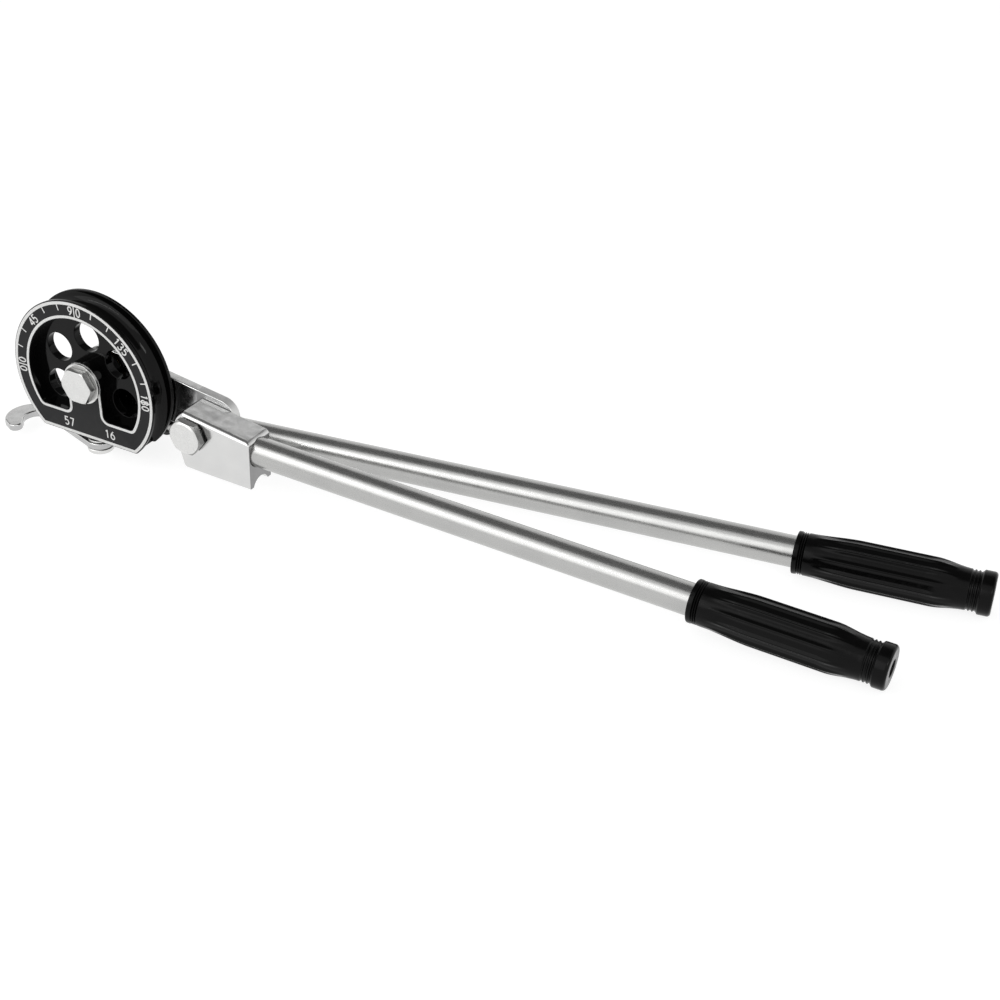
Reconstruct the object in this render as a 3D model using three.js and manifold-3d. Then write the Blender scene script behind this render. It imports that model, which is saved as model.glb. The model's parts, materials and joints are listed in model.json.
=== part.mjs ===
// Lever tube bender: a grooved forming wheel with a degree face, a link that swings behind it,
// a forming shoe on the link's end, a swinging tube latch and two long handles with fluted grips.
// Millimetres. Each piece is modelled with the wheel's centre as origin: +X points along the handles,
// +Y goes back from the degree face, +Z goes up. At the end the tool is stood on its three feet.

import * as THREE from "three";
import Module from "manifold-3d";
import { mergeVertices } from "three/addons/utils/BufferGeometryUtils.js";

// Fits shared by all pieces
const seatGap = 0.2;
const bossClearance = 0.25;
const overrun = 2;
const weldDistance = 0.0001;
const fineBevel = 0.5;

// Tube that the tool bends, which sizes the groove, the shoe and the latch
const bentTubeRadius = 8;

// Forming wheel
const wheelRadius = 57;
const wheelWidth = 21;
const flatHeight = -41.6;
const flatCornerRadius = 3;
const rimInnerRadius = 44.5;
const rimChamfer = 0.8;
const windowFloor = -24.5;
const windowDepth = 8;
const windowCornerRadius = 3;
const stemHalfWidth = 14;
const stemFootRadius = 4;
const frontBossRadius = 14.6;
const webThickness = 6;
const hubRadius = 16;
const webHoleRadius = 10;
const webHoleCircleRadius = 29;
const webHoleCount = 5;
const webHolePitch = 56;

// Centre bolt and what it clamps
const centerShankRadius = 6;
const centerHeadFlats = 22;
const centerHeadThickness = 5;
const centerWasherRadius = 14;
const centerWasherThickness = 1.8;
const hubSleeveWall = 2.4;
const thrustWasherThickness = 0.8;
const thrustWasherRadius = 14.5;
const backWasherThickness = 1.5;
const centerNutThickness = 6;
const nutInset = 2;
const boltTipLength = 2;
const centerHeadInset = 1.2;
const hexChamferShare = 0.65;
const hexSides = 6;

// Link plate
const linkAngle = -7.85;
const linkHalfWidth = 16.5;
const linkThickness = 6.8;
const linkEndReach = 17.4;
const linkEndRadius = 11.5;
const linkBackOffset = 0.8;
const linkBevel = 0.8;
const bushWall = 1.8;
const openStopAngle = 2.15;
const linkBevelSteps = 2;

// Pivot bolt of the shoe
const pivotShankRadius = 5;
const pivotHeadFlats = 22;
const pivotHeadThickness = 5.5;
const pivotHeadInset = 2.5;
const pivotCollarRadius = 9.5;
const pivotCollarThickness = 1.5;
const pivotNutFlats = 18.5;
const pivotNutThickness = 5;
const pivotSleeveWall = 1.8;
const pivotWasherThickness = 1;
const pivotWasherRadius = 11;

// Forming shoe, in its own frame: origin at the pivot, +X along its handle
const shoeAngle = -0.93;
const shoeWidth = 22;
const shoeGap = 3;
const shoeFaceDrop = 26.4;
const shoeNoseRadius = 14.5;
const shoeLength = 45.2;
const shoeTopRise = 12.4;
const shoeEndTop = 6.6;
const shoeHeelSlant = 15.5;
const shoeHeelRadius = 4;
const shoeFaceTrim = 1.2;
const shoeEdgeRadius = 2.5;
const shoeCornerRadius = 3;
const shoeHandleDrop = 3.9;
const shoeSocketWall = 5.9;
const shoeBevelSteps = 3;

// Handle tubes, pins and grips
const tubeRadius = 9.525;
const tubeWall = 2;
const tubeMouthBevel = 0.6;
const pinRadius = 2.5;
const pinWall = 0.8;
const pinSlot = 1;
const gripLength = 113.4;
const gripStartFromPivot = 338.8;
const gripStartFromWheel = 459.2;
const gripLipRadius = 12.75;
const gripLipLength = 2.4;
const gripBodyStart = 6.5;
const gripShoulderRadius = 12.6;
const gripBellyRadius = 14.5;
const gripNeckRadius = 12.1;
const gripNeckStart = 99;
const gripCollarStart = 105.5;
const gripCollarRadius = 13;
const gripCollarRounding = 2;
const gripRingDepth = 0.5;
const gripFluteDepth = 0.9;
const gripFluteCount = 12;
const gripFacetsPerFlute = 3;
const gripRidgeSharpness = 3;
const gripFluteFullnessShare = 1.6;
const gripBodySteps = 8;
const gripFrontRingCount = 3;
const gripBackRingCount = 3;
const gripFluteStart = 10;
const gripFluteEnd = 93;
const gripRiseShare = 1 / 3;
const gripFallShare = 1 / 6;
const gripEndWall = 5;
const gripEndHoleRadius = 5;

// Socket of the rear handle, behind the wheel
const formHandleHeight = -33.97;
const formHandleDepth = 34.46;
const formHandleBackShare = 0.1198;
const formHandleRiseShare = 0.0224;
const socketRadius = 12.5;
const socketInnerEnd = -19;
const socketMouth = 37;
const socketDomeRadius = 5;
const formTubeStart = -10;
const formPinPlace = 14;

// Tube latch under the wheel's flat
const latchX = -2;
const latchDepth = 11.5;
const latchBossRadius = 8;
const latchBossHeight = 4.1;
const latchBossRoot = 8;
const latchWasherRadius = 7.6;
const latchWasherThickness = 1.2;
const latchThickness = 4.8;
const latchEyeRadius = 8.8;
const latchShankRadius = 4;
const latchShankReach = 14;
const latchHeadRadius = 8.8;
const latchHeadThickness = 3.3;
const latchHeadRounding = 1.2;
const latchTubeClearance = 0.5;
const hookOuterRadius = 17.3;
const hookOuterX = -61.3;
const hookOuterDepth = 10.3;
const hookMouthAngle = 252;
const hookTipX = -54.6;
const hookTipDepth = -5.4;
const hookTipThickness = 1.4;
const hookShoulderAngle = 236;

// Facets in a full circle, by the size of the curve
const wheelFacets = 72;
const holeFacets = 28;
const grooveFacets = 20;
const boltFacets = 28;
const sleeveFacets = 20;
const pinFacets = 16;
const filletFacets = 16;
const triangleCorners = 3;

const centerDepth = wheelWidth / 2;
const linkFront = wheelWidth + linkBackOffset;
const linkBack = linkFront + linkThickness;
const linkLength = wheelRadius + shoeGap + shoeFaceDrop;
const degrees = Math.PI / 180;
const halfTurn = Math.PI;
const quarterTurn = Math.PI / 2;

const wasm = await Module();
wasm.setup();

// Materials

function finish(color, roughness, metalness) {
  return new THREE.MeshStandardMaterial({ color, roughness, metalness });
}

const blackPaint = finish(0x17181a, 0.42, 0.1);
const brightPlating = finish(0xc9ccd0, 0.22, 1);
const satinPlating = finish(0xb4b4b2, 0.38, 1);
const zincPlating = finish(0xc2c3bf, 0.32, 1);
const bronze = finish(0xa07a45, 0.45, 1);
const springSteel = finish(0x5d5f63, 0.4, 1);
const blackRubber = finish(0x1c1c1d, 0.62, 0);

// Solids: geometry in, closed solid out

function signedVolume(position, triangles) {
  const corner = [new THREE.Vector3(), new THREE.Vector3(), new THREE.Vector3()];
  let total = 0;
  for (let start = 0; start < triangles.length; start += triangleCorners) {
    for (let side = 0; side < triangleCorners; side += 1) {
      corner[side].fromBufferAttribute(position, triangles[start + side]);
    }
    total += corner[0].dot(corner[1].clone().cross(corner[2]));
  }
  return total;
}

function solid(geometry) {
  const bare = geometry.clone();
  bare.deleteAttribute("normal");
  bare.deleteAttribute("uv");
  const merged = mergeVertices(bare, weldDistance);
  const index = merged.index.array;
  const triangles = [];
  for (let start = 0; start < index.length; start += triangleCorners) {
    const [a, b, c] = index.slice(start, start + triangleCorners);
    if (a !== b && b !== c && c !== a) {
      triangles.push(a, b, c);
    }
  }
  if (signedVolume(merged.attributes.position, triangles) < 0) {
    triangles.reverse();
  }
  return new wasm.Manifold(new wasm.Mesh({
    numProp: 3,
    vertProperties: Float32Array.from(merged.attributes.position.array),
    triVerts: Uint32Array.from(triangles),
  }));
}

function cutFrom(body, ...tools) {
  return tools.reduce((left, tool) => left.subtract(tool), body);
}

function joined(first, ...others) {
  return others.reduce((whole, other) => whole.add(other), first);
}

function piece(name, body, material) {
  const result = body.getMesh();
  const geometry = new THREE.BufferGeometry();
  geometry.setAttribute("position", new THREE.BufferAttribute(Float32Array.from(result.vertProperties), 3));
  geometry.setIndex(Array.from(result.triVerts));
  geometry.computeVertexNormals();
  const mesh = new THREE.Mesh(geometry, material);
  mesh.name = name;
  return mesh;
}

// A profile of [radius, depth] pairs turned about the depth axis, closed on itself when it is a ring
function turned(profile, segments) {
  const points = profile.map(([radius, depth]) => new THREE.Vector2(radius, depth));
  if (profile[0][0] > 0) {
    points.push(points[0].clone());
  }
  return new THREE.LatheGeometry(points, segments);
}

function ring(innerRadius, outerRadius, front, back, segments) {
  return turned([
    [innerRadius, front],
    [outerRadius, front],
    [outerRadius, back],
    [innerRadius, back],
  ], segments);
}

function rod(radius, front, back, segments) {
  return turned([
    [0, front],
    [radius, front],
    [radius, back],
    [0, back],
  ], segments);
}

// The depth axis laid along +X, for tubes and grips
function alongX(geometry) {
  return geometry.rotateZ(-quarterTurn);
}

// The depth axis stood up along +Z, for the latch screw
function alongZ(geometry) {
  return geometry.rotateX(quarterTurn);
}

// Points of an arc, with as many steps as its share of a full circle's facets
function arcPoints(centerX, centerY, radius, from, to, facets) {
  const steps = Math.max(2, Math.round(Math.abs(to - from) / (2 * halfTurn) * facets));
  return Array.from({ length: steps + 1 }, (_, step) => {
    const angle = from + (to - from) * step / steps;
    return [centerX + radius * Math.cos(angle), centerY + radius * Math.sin(angle)];
  });
}

function outline(points) {
  return new THREE.Shape(points.map(([x, y]) => new THREE.Vector2(x, y)));
}

// A shape drawn in X and Z, made a slab between two depths
function slab(shape, front, back) {
  const geometry = new THREE.ExtrudeGeometry(shape, { depth: back - front, bevelEnabled: false });
  return geometry.rotateX(quarterTurn).translate(0, back, 0);
}

// The same slab with its front and back edges rounded
function roundedSlab(shape, front, back, radius, steps) {
  const geometry = new THREE.ExtrudeGeometry(shape, {
    depth: back - front - 2 * radius,
    bevelEnabled: true,
    bevelSize: radius,
    bevelThickness: radius,
    bevelOffset: -radius,
    bevelSegments: steps,
  });
  return geometry.rotateX(quarterTurn).translate(0, back - radius, 0);
}

function box(low, high) {
  const size = high.map((value, axis) => value - low[axis]);
  const middle = high.map((value, axis) => (value + low[axis]) / 2);
  return new THREE.BoxGeometry(...size).translate(...middle);
}

// Hexagon prism between two depths. A face with an inset is chamfered to a cone that leaves a round
// face, smaller by that inset than the circle through the corners.
function hexagon(flats, front, back, frontInset, backInset) {
  const cornerRadius = flats / 2 / Math.cos(halfTurn / hexSides);
  const corners = arcPoints(0, 0, cornerRadius, 0, 2 * halfTurn, hexSides).slice(0, hexSides);
  const coneRadius = cornerRadius + overrun;
  const cone = turned([
    [0, front],
    [frontInset > 0 ? cornerRadius - frontInset : coneRadius, front],
    [coneRadius, front + (overrun + frontInset) * hexChamferShare],
    [coneRadius, back - (overrun + backInset) * hexChamferShare],
    [backInset > 0 ? cornerRadius - backInset : coneRadius, back],
    [0, back],
  ], boltFacets);
  return solid(slab(outline(corners), front, back)).intersect(solid(cone));
}

// Forming wheel

function wheelBlank() {
  const boreRadius = centerShankRadius + hubSleeveWall + 2 * bossClearance;
  const webBack = windowDepth + webThickness;
  const hubBack = linkFront - thrustWasherThickness - 2 * seatGap;
  const groove = arcPoints(
    wheelRadius, centerDepth, bentTubeRadius, 3 * quarterTurn, quarterTurn, grooveFacets,
  );
  return solid(turned([
    [boreRadius, 0],
    [wheelRadius - rimChamfer, 0],
    [wheelRadius, rimChamfer],
    ...groove,
    [wheelRadius, wheelWidth - rimChamfer],
    [wheelRadius - rimChamfer, wheelWidth],
    [rimInnerRadius, wheelWidth],
    [rimInnerRadius, webBack],
    [hubRadius, webBack],
    [hubRadius, hubBack],
    [boreRadius, hubBack],
  ], wheelFacets));
}

// Block that leaves the wheel its flat foot, the flat's corners rounded into the rim
function flatKeeper() {
  const reach = wheelRadius + overrun;
  const cornerHeight = flatHeight + flatCornerRadius;
  const cornerX = Math.sqrt((wheelRadius - flatCornerRadius) ** 2 - cornerHeight ** 2);
  const angle = Math.atan2(cornerHeight, cornerX);
  const corner = arcPoints(cornerX, cornerHeight, flatCornerRadius, -quarterTurn, angle, filletFacets);
  const [lastX, lastHeight] = corner[corner.length - 1];
  const tangentHeight = lastHeight - (reach - lastX) / Math.tan(angle);
  const right = [...corner, [reach, tangentHeight], [reach, reach]];
  const left = right.map(([x, z]) => [-x, z]).reverse();
  return solid(slab(outline([...right, ...left]), -overrun, wheelWidth + overrun));
}

// Arched window of the face, with the stem and the boss standing in it
function windowOutline() {
  const cornerHeight = windowFloor + windowCornerRadius;
  const cornerX = Math.sqrt((rimInnerRadius - windowCornerRadius) ** 2 - cornerHeight ** 2);
  const angle = Math.atan2(cornerHeight, cornerX);
  const footX = stemHalfWidth + stemFootRadius;
  const footHeight = windowFloor + stemFootRadius;
  const bossAngle = Math.acos(stemHalfWidth / frontBossRadius);
  const right = [
    ...arcPoints(footX, footHeight, stemFootRadius, halfTurn, 3 * quarterTurn, filletFacets),
    ...arcPoints(cornerX, cornerHeight, windowCornerRadius, -quarterTurn, angle, filletFacets),
  ];
  const left = right.map(([x, z]) => [-x, z]).reverse();
  const arch = arcPoints(0, 0, rimInnerRadius, angle, halfTurn - angle, wheelFacets).slice(1, -1);
  const boss = arcPoints(0, 0, frontBossRadius, halfTurn + bossAngle, -bossAngle, wheelFacets / 2);
  return outline([...right, ...arch, ...left, ...boss]);
}

// Round holes of the web, spread evenly to both sides of the top
function webHoles() {
  const front = windowDepth - fineBevel;
  const back = windowDepth + webThickness + fineBevel;
  return Array.from({ length: webHoleCount }, (_, count) => {
    const angle = quarterTurn + (count - (webHoleCount - 1) / 2) * webHolePitch * degrees;
    const x = webHoleCircleRadius * Math.cos(angle);
    const z = webHoleCircleRadius * Math.sin(angle);
    return solid(rod(webHoleRadius, front, back, holeFacets).translate(x, 0, z));
  });
}

// Lines that the link's long edge follows where it rests on the socket web, closed and fully open
function stopHeight(x, angle) {
  return -(linkHalfWidth + seatGap) / Math.cos(angle * degrees) + x * Math.tan(angle * degrees);
}

// Web that joins the rear handle's socket to the wheel, its top serving as the link's two stops
function socketWeb() {
  const shape = outline([
    [socketInnerEnd, flatHeight],
    [socketMouth, flatHeight],
    [socketMouth, stopHeight(socketMouth, linkAngle)],
    [0, stopHeight(0, linkAngle)],
    [socketInnerEnd, stopHeight(socketInnerEnd, openStopAngle)],
  ]);
  return solid(slab(shape, windowDepth + webThickness / 2, formHandleDepth));
}

const formHandleFrame = new THREE.Matrix4().compose(
  new THREE.Vector3(0, formHandleDepth, formHandleHeight),
  new THREE.Quaternion().setFromUnitVectors(
    new THREE.Vector3(1, 0, 0),
    new THREE.Vector3(1, formHandleBackShare, formHandleRiseShare).normalize(),
  ),
  new THREE.Vector3(1, 1, 1),
);

function socketBarrel() {
  return solid(alongX(turned([
    [0, socketInnerEnd],
    ...arcPoints(
      socketRadius - socketDomeRadius, socketInnerEnd + socketDomeRadius, socketDomeRadius,
      -quarterTurn, 0, filletFacets,
    ),
    [socketRadius, socketMouth - rimChamfer],
    [socketRadius - rimChamfer, socketMouth],
    [0, socketMouth],
  ], boltFacets)).applyMatrix4(formHandleFrame));
}

function socketBore() {
  return solid(alongX(rod(
    tubeRadius + bossClearance, formTubeStart - seatGap, socketMouth + overrun, boltFacets,
  )).applyMatrix4(formHandleFrame));
}

// A round bar on the latch's upright axis, for the boss, the holes and the screw
function latchRod(radius, bottom, top, facets) {
  return alongZ(rod(radius, bottom, top, facets)).translate(latchX, latchDepth, 0);
}

function formPinHole() {
  const reach = socketRadius + overrun;
  return solid(rod(pinRadius + bossClearance, -tubeRadius - fineBevel, reach, pinFacets)
    .translate(formPinPlace, 0, 0).applyMatrix4(formHandleFrame));
}

function formerWheel() {
  const rim = wheelBlank().intersect(flatKeeper());
  const windowCut = solid(slab(windowOutline(), -overrun, windowDepth));
  const latchBoss = solid(latchRod(
    latchBossRadius, flatHeight - latchBossHeight, flatHeight + latchBossRoot, boltFacets,
  ));
  const latchHole = solid(latchRod(
    latchShankRadius + bossClearance, flatHeight - latchBossHeight - overrun,
    flatHeight + latchShankReach + seatGap, sleeveFacets,
  ));
  const body = cutFrom(rim, windowCut, ...webHoles());
  const casting = joined(body, socketWeb(), socketBarrel(), latchBoss);
  return piece("former_wheel", cutFrom(casting, socketBore(), latchHole, formPinHole()), blackPaint);
}

// Centre bolt stack

// Hexagon bolt. Its neck is the profile of a collar under the head, or just the shank's first point.
function hexBolt(
  name, flats, inset, headThickness, shankRadius, headBack, tip,
  neck = [[shankRadius, headBack]],
) {
  const head = hexagon(flats, headBack - headThickness, headBack, inset, 0);
  const shank = solid(turned([
    [0, headBack - fineBevel],
    [neck[0][0], headBack - fineBevel],
    ...neck,
    [shankRadius, tip - fineBevel],
    [shankRadius - fineBevel, tip],
    [0, tip],
  ], sleeveFacets));
  return piece(name, joined(head, shank), zincPlating);
}

function hexNut(name, flats, boreRadius, front, back) {
  const bore = solid(rod(boreRadius, front - overrun, back + overrun, sleeveFacets));
  return piece(name, cutFrom(hexagon(flats, front, back, 0, nutInset), bore), zincPlating);
}

function washer(name, innerRadius, outerRadius, front, back, material) {
  return piece(name, solid(ring(innerRadius, outerRadius, front, back, boltFacets)), material);
}

function centerStack() {
  const sleeveInner = centerShankRadius + bossClearance;
  const sleeveOuter = sleeveInner + hubSleeveWall;
  const washerBack = -seatGap;
  const headBack = washerBack - centerWasherThickness - seatGap;
  const thrustFront = linkFront - seatGap - thrustWasherThickness;
  const backWasherFront = linkBack + seatGap;
  const nutFront = backWasherFront + backWasherThickness + seatGap;
  const nutBack = nutFront + centerNutThickness;
  const tip = nutBack + boltTipLength;
  return [
    hexBolt(
      "center_bolt", centerHeadFlats, centerHeadInset, centerHeadThickness, centerShankRadius,
      headBack, tip,
    ),
    washer("center_washer_front", sleeveInner, centerWasherRadius, washerBack - centerWasherThickness,
      washerBack, zincPlating),
    washer("hub_sleeve", sleeveInner, sleeveOuter, 0, linkBack, bronze),
    washer("link_thrust_washer", sleeveOuter + bossClearance, thrustWasherRadius, thrustFront,
      thrustFront + thrustWasherThickness, bronze),
    washer("center_washer_back", sleeveInner, centerWasherRadius, backWasherFront,
      backWasherFront + backWasherThickness, zincPlating),
    hexNut("center_nut", centerHeadFlats, centerShankRadius + bossClearance, nutFront, nutBack),
  ];
}

// Link, in its own frame: origin at the wheel's centre, +X towards the shoe

function linkOutline() {
  const cornerX = linkLength + linkEndReach - linkEndRadius;
  const cornerHeight = linkHalfWidth - linkEndRadius;
  return outline([
    ...arcPoints(0, 0, linkHalfWidth, quarterTurn, 3 * quarterTurn, boltFacets),
    ...arcPoints(cornerX, -cornerHeight, linkEndRadius, -quarterTurn, 0, boltFacets),
    ...arcPoints(cornerX, cornerHeight, linkEndRadius, 0, quarterTurn, boltFacets),
  ]);
}

function linkPieces() {
  const bushInner = centerShankRadius + hubSleeveWall + 2 * bossClearance;
  const bushOuter = bushInner + bushWall;
  const plate = solid(roundedSlab(linkOutline(), linkFront, linkBack, linkBevel, linkBevelSteps));
  const bushHole = solid(rod(
    bushOuter + bossClearance, linkFront - overrun, linkBack + overrun, boltFacets,
  ));
  const pivotHole = solid(rod(
    pivotShankRadius + bossClearance, linkFront - overrun, linkBack + overrun, sleeveFacets,
  ).translate(linkLength, 0, 0));
  const nutFront = linkBack + seatGap;
  const nutBack = nutFront + pivotNutThickness;
  const collarBack = centerDepth - shoeWidth / 2 - seatGap;
  const bolt = hexBolt(
    "pivot_bolt", pivotHeadFlats, pivotHeadInset, pivotHeadThickness, pivotShankRadius,
    collarBack - pivotCollarThickness, nutBack + fineBevel,
    [[pivotCollarRadius, collarBack], [pivotShankRadius, collarBack]],
  );
  const nut = hexNut("pivot_nut", pivotNutFlats, pivotShankRadius + bossClearance, nutFront, nutBack);
  bolt.position.x = linkLength;
  nut.position.x = linkLength;
  return [
    piece("link_plate", cutFrom(plate, bushHole, pivotHole), brightPlating),
    washer("link_bush", bushInner, bushOuter, linkFront, linkBack, bronze),
    bolt,
    nut,
  ];
}

// Forming shoe

const shoeFront = centerDepth - shoeWidth / 2;
const shoeBack = centerDepth + shoeWidth / 2;
const shoeBoreRadius = pivotShankRadius + pivotSleeveWall + 2 * bossClearance;
const shoeSocketStart = shoeBoreRadius + shoeSocketWall;
const shoePinPlace = (shoeSocketStart + shoeLength) / 2;

function shoeOutline() {
  const slant = shoeHeelSlant * degrees;
  const noseEnd = halfTurn + slant;
  const bottom = -shoeFaceDrop - shoeFaceTrim;
  const heelHeight = bottom + shoeHeelRadius;
  const heelX = -(shoeNoseRadius - shoeHeelRadius + heelHeight * Math.sin(slant)) / Math.cos(slant);
  const topSlope = Math.atan2(shoeEndTop - shoeTopRise, shoeLength);
  const topNormal = quarterTurn + topSlope;
  const noseStart = topNormal + Math.acos(shoeTopRise * Math.cos(topSlope) / shoeNoseRadius);
  const cornerX = shoeLength - shoeCornerRadius;
  const cornerHeight = shoeTopRise + cornerX * Math.tan(topSlope) - shoeCornerRadius / Math.cos(topSlope);
  return outline([
    ...arcPoints(0, 0, shoeNoseRadius, noseStart, noseEnd, boltFacets),
    ...arcPoints(heelX, heelHeight, shoeHeelRadius, noseEnd, 3 * quarterTurn, boltFacets),
    [shoeLength, bottom],
    ...arcPoints(cornerX, cornerHeight, shoeCornerRadius, 0, topNormal, filletFacets),
  ]);
}

function shoeBlock() {
  const rawBack = shoeBack + shoeEdgeRadius;
  const block = solid(roundedSlab(shoeOutline(), shoeFront, rawBack, shoeEdgeRadius, shoeBevelSteps));
  const reach = shoeLength + shoeNoseRadius;
  const faceTrim = solid(box(
    [-reach, shoeFront - overrun, -shoeFaceDrop - reach],
    [reach, rawBack + overrun, -shoeFaceDrop],
  ));
  const backTrim = solid(box([-reach, shoeBack, -reach], [reach, rawBack + overrun, reach]));
  const groove = solid(alongX(rod(bentTubeRadius, -reach, reach, grooveFacets))
    .translate(0, centerDepth, -shoeFaceDrop - shoeGap));
  const socket = solid(alongX(rod(
    tubeRadius + bossClearance, shoeSocketStart, shoeLength + overrun, boltFacets,
  )).translate(0, centerDepth, -shoeHandleDrop));
  const bore = solid(rod(shoeBoreRadius, shoeFront - overrun, shoeBack + overrun, sleeveFacets));
  const washerSeat = solid(rod(
    pivotWasherRadius + bossClearance, linkFront - 2 * seatGap - pivotWasherThickness, shoeBack + overrun,
    boltFacets,
  ));
  const pinHole = solid(rod(
    pinRadius + bossClearance, centerDepth - tubeRadius - bossClearance, shoeBack + overrun, pinFacets,
  ).translate(shoePinPlace, 0, -shoeHandleDrop));
  const body = cutFrom(block, faceTrim, backTrim, groove, socket, bore, washerSeat, pinHole);
  return piece("shoe_block", body, brightPlating);
}

function shoePivotParts() {
  const sleeveInner = pivotShankRadius + bossClearance;
  const sleeveOuter = sleeveInner + pivotSleeveWall;
  const washerBack = linkFront - seatGap;
  return [
    washer("pivot_sleeve", sleeveInner, sleeveOuter, shoeFront, washerBack, bronze),
    washer("pivot_washer", sleeveOuter + bossClearance, pivotWasherRadius,
      washerBack - pivotWasherThickness, washerBack, bronze),
  ];
}

// Handle tubes, their roll pins and the grips, each along +X of its handle

function handleTube(name, start, end, pinPlace) {
  const inner = tubeRadius - tubeWall;
  const wall = solid(alongX(turned([
    [inner, start],
    [tubeRadius - tubeMouthBevel, start],
    [tubeRadius, start + tubeMouthBevel],
    [tubeRadius, end - tubeMouthBevel],
    [tubeRadius - tubeMouthBevel, end],
    [inner, end],
  ], boltFacets)));
  const reach = tubeRadius + overrun;
  const pinHole = solid(rod(pinRadius + bossClearance, -reach, reach, pinFacets).translate(pinPlace, 0, 0));
  return piece(name, cutFrom(wall, pinHole), satinPlating);
}

// Slotted spring pin, rolled from strip
function rollPin(name, place, front, back) {
  const tube = solid(ring(pinRadius - pinWall, pinRadius, front, back, pinFacets));
  const slot = solid(box(
    [0, front - overrun, -pinSlot / 2],
    [pinRadius + overrun, back + overrun, pinSlot / 2],
  ));
  const pin = piece(name, cutFrom(tube, slot), springSteel);
  pin.position.x = place;
  return pin;
}

// Half-height of the grip's skin at a place along it, before the flutes
function gripRadius(place) {
  const fluted = gripFluteEnd - gripFluteStart;
  const riseEnd = gripFluteStart + fluted * gripRiseShare;
  const fallStart = gripFluteEnd - fluted * gripFallShare;
  const rise = THREE.MathUtils.smoothstep(place, gripBodyStart, riseEnd);
  const fall = THREE.MathUtils.smoothstep(place, fallStart, gripNeckStart);
  const body = THREE.MathUtils.lerp(gripShoulderRadius, gripBellyRadius, rise);
  return THREE.MathUtils.lerp(body, gripNeckRadius, fall);
}

// How deep a flute is at a place along the grip: pointed at both ends
function fluteShare(place) {
  const along = (place - gripFluteStart) / (gripFluteEnd - gripFluteStart);
  if (along <= 0 || along >= 1) {
    return 0;
  }
  return Math.min(1, Math.sin(halfTurn * along) * gripFluteFullnessShare);
}

// Rings of a row of fine grooves round the grip: each groove's foot, then the land after it
function grooveRings(start, end, count, radius) {
  const pitch = (end - start) / count;
  return Array.from({ length: count }, (_, groove) => [
    [start + pitch * (groove + 1 / 2), radius - gripRingDepth],
    [start + pitch * (groove + 1), radius],
  ]).flat();
}

// Rings of the grip from mouth to end and back through the bore: [place, radius, flute share]
function gripRings() {
  const boreRadius = tubeRadius + bossClearance;
  const boreEnd = gripLength - gripEndWall;
  const body = Array.from({ length: gripBodySteps + 1 }, (_, step) => {
    const place = gripFluteStart + (gripFluteEnd - gripFluteStart) * step / gripBodySteps;
    return [place, gripRadius(place), fluteShare(place)];
  });
  const roundedEdge = arcPoints(
    gripCollarRadius - gripCollarRounding, gripLength - gripCollarRounding, gripCollarRounding,
    0, quarterTurn, filletFacets / 2,
  );
  return [
    [0, gripLipRadius - fineBevel],
    [fineBevel, gripLipRadius],
    [gripLipLength, gripLipRadius],
    ...grooveRings(gripLipLength, gripBodyStart, gripFrontRingCount, gripShoulderRadius),
    ...body,
    [gripNeckStart, gripNeckRadius],
    ...grooveRings(gripNeckStart, gripCollarStart, gripBackRingCount, gripNeckRadius),
    [gripCollarStart + fineBevel, gripCollarRadius],
    ...roundedEdge.map(([radius, place]) => [place, radius]),
    [gripLength, gripEndHoleRadius],
    [boreEnd, gripEndHoleRadius],
    [boreEnd, boreRadius],
    [0, boreRadius],
  ];
}

// How deep the skin is pressed at an angle round the grip: wide flutes that leave narrow ridges
function flutePress(angle, share) {
  const ridge = ((1 + Math.cos(gripFluteCount * angle)) / 2) ** gripRidgeSharpness;
  return share * gripFluteDepth * (1 - ridge);
}

// Skin lofted over the rings, the last joined to the first, with the flutes pressed into it
function gripSolid() {
  const rings = gripRings();
  const facets = gripFluteCount * gripFacetsPerFlute;
  const positions = [];
  for (const [place, radius, share = 0] of rings) {
    for (let side = 0; side < facets; side += 1) {
      const angle = side * 2 * halfTurn / facets;
      const reach = radius - flutePress(angle, share);
      positions.push(place, reach * Math.cos(angle), reach * Math.sin(angle));
    }
  }
  const index = [];
  for (let row = 0; row < rings.length; row += 1) {
    const next = (row + 1) % rings.length;
    for (let side = 0; side < facets; side += 1) {
      const beside = (side + 1) % facets;
      const [a, b] = [row * facets + side, row * facets + beside];
      const [c, d] = [next * facets + side, next * facets + beside];
      index.push(a, b, c, b, d, c);
    }
  }
  const geometry = new THREE.BufferGeometry();
  geometry.setAttribute("position", new THREE.BufferAttribute(Float32Array.from(positions), 3));
  geometry.setIndex(index);
  return solid(geometry);
}

function grip(name, start) {
  const mesh = piece(name, gripSolid(), blackRubber);
  mesh.position.x = start;
  return mesh;
}

function tubeEndInside(gripStart) {
  return gripStart + gripLength - gripEndWall - seatGap;
}

function shoeHandle() {
  const tubeStart = shoeSocketStart + seatGap;
  const tubeEnd = tubeEndInside(gripStartFromPivot);
  const handle = new THREE.Group();
  handle.add(handleTube("shoe_handle_tube", tubeStart, tubeEnd, shoePinPlace));
  handle.add(rollPin("shoe_handle_pin", shoePinPlace, -tubeRadius, shoeBack - centerDepth - seatGap));
  handle.add(grip("shoe_grip", gripStartFromPivot));
  handle.position.set(0, centerDepth, -shoeHandleDrop);
  return handle;
}

function formHandle() {
  const tubeEnd = tubeEndInside(gripStartFromWheel);
  const handle = new THREE.Group();
  handle.add(handleTube("form_handle_tube", formTubeStart, tubeEnd, formPinPlace));
  handle.add(rollPin("form_handle_pin", formPinPlace, -tubeRadius, socketRadius - fineBevel));
  handle.add(grip("form_grip", gripStartFromWheel));
  formHandleFrame.decompose(handle.position, handle.quaternion, handle.scale);
  return handle;
}

// Tube latch

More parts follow.
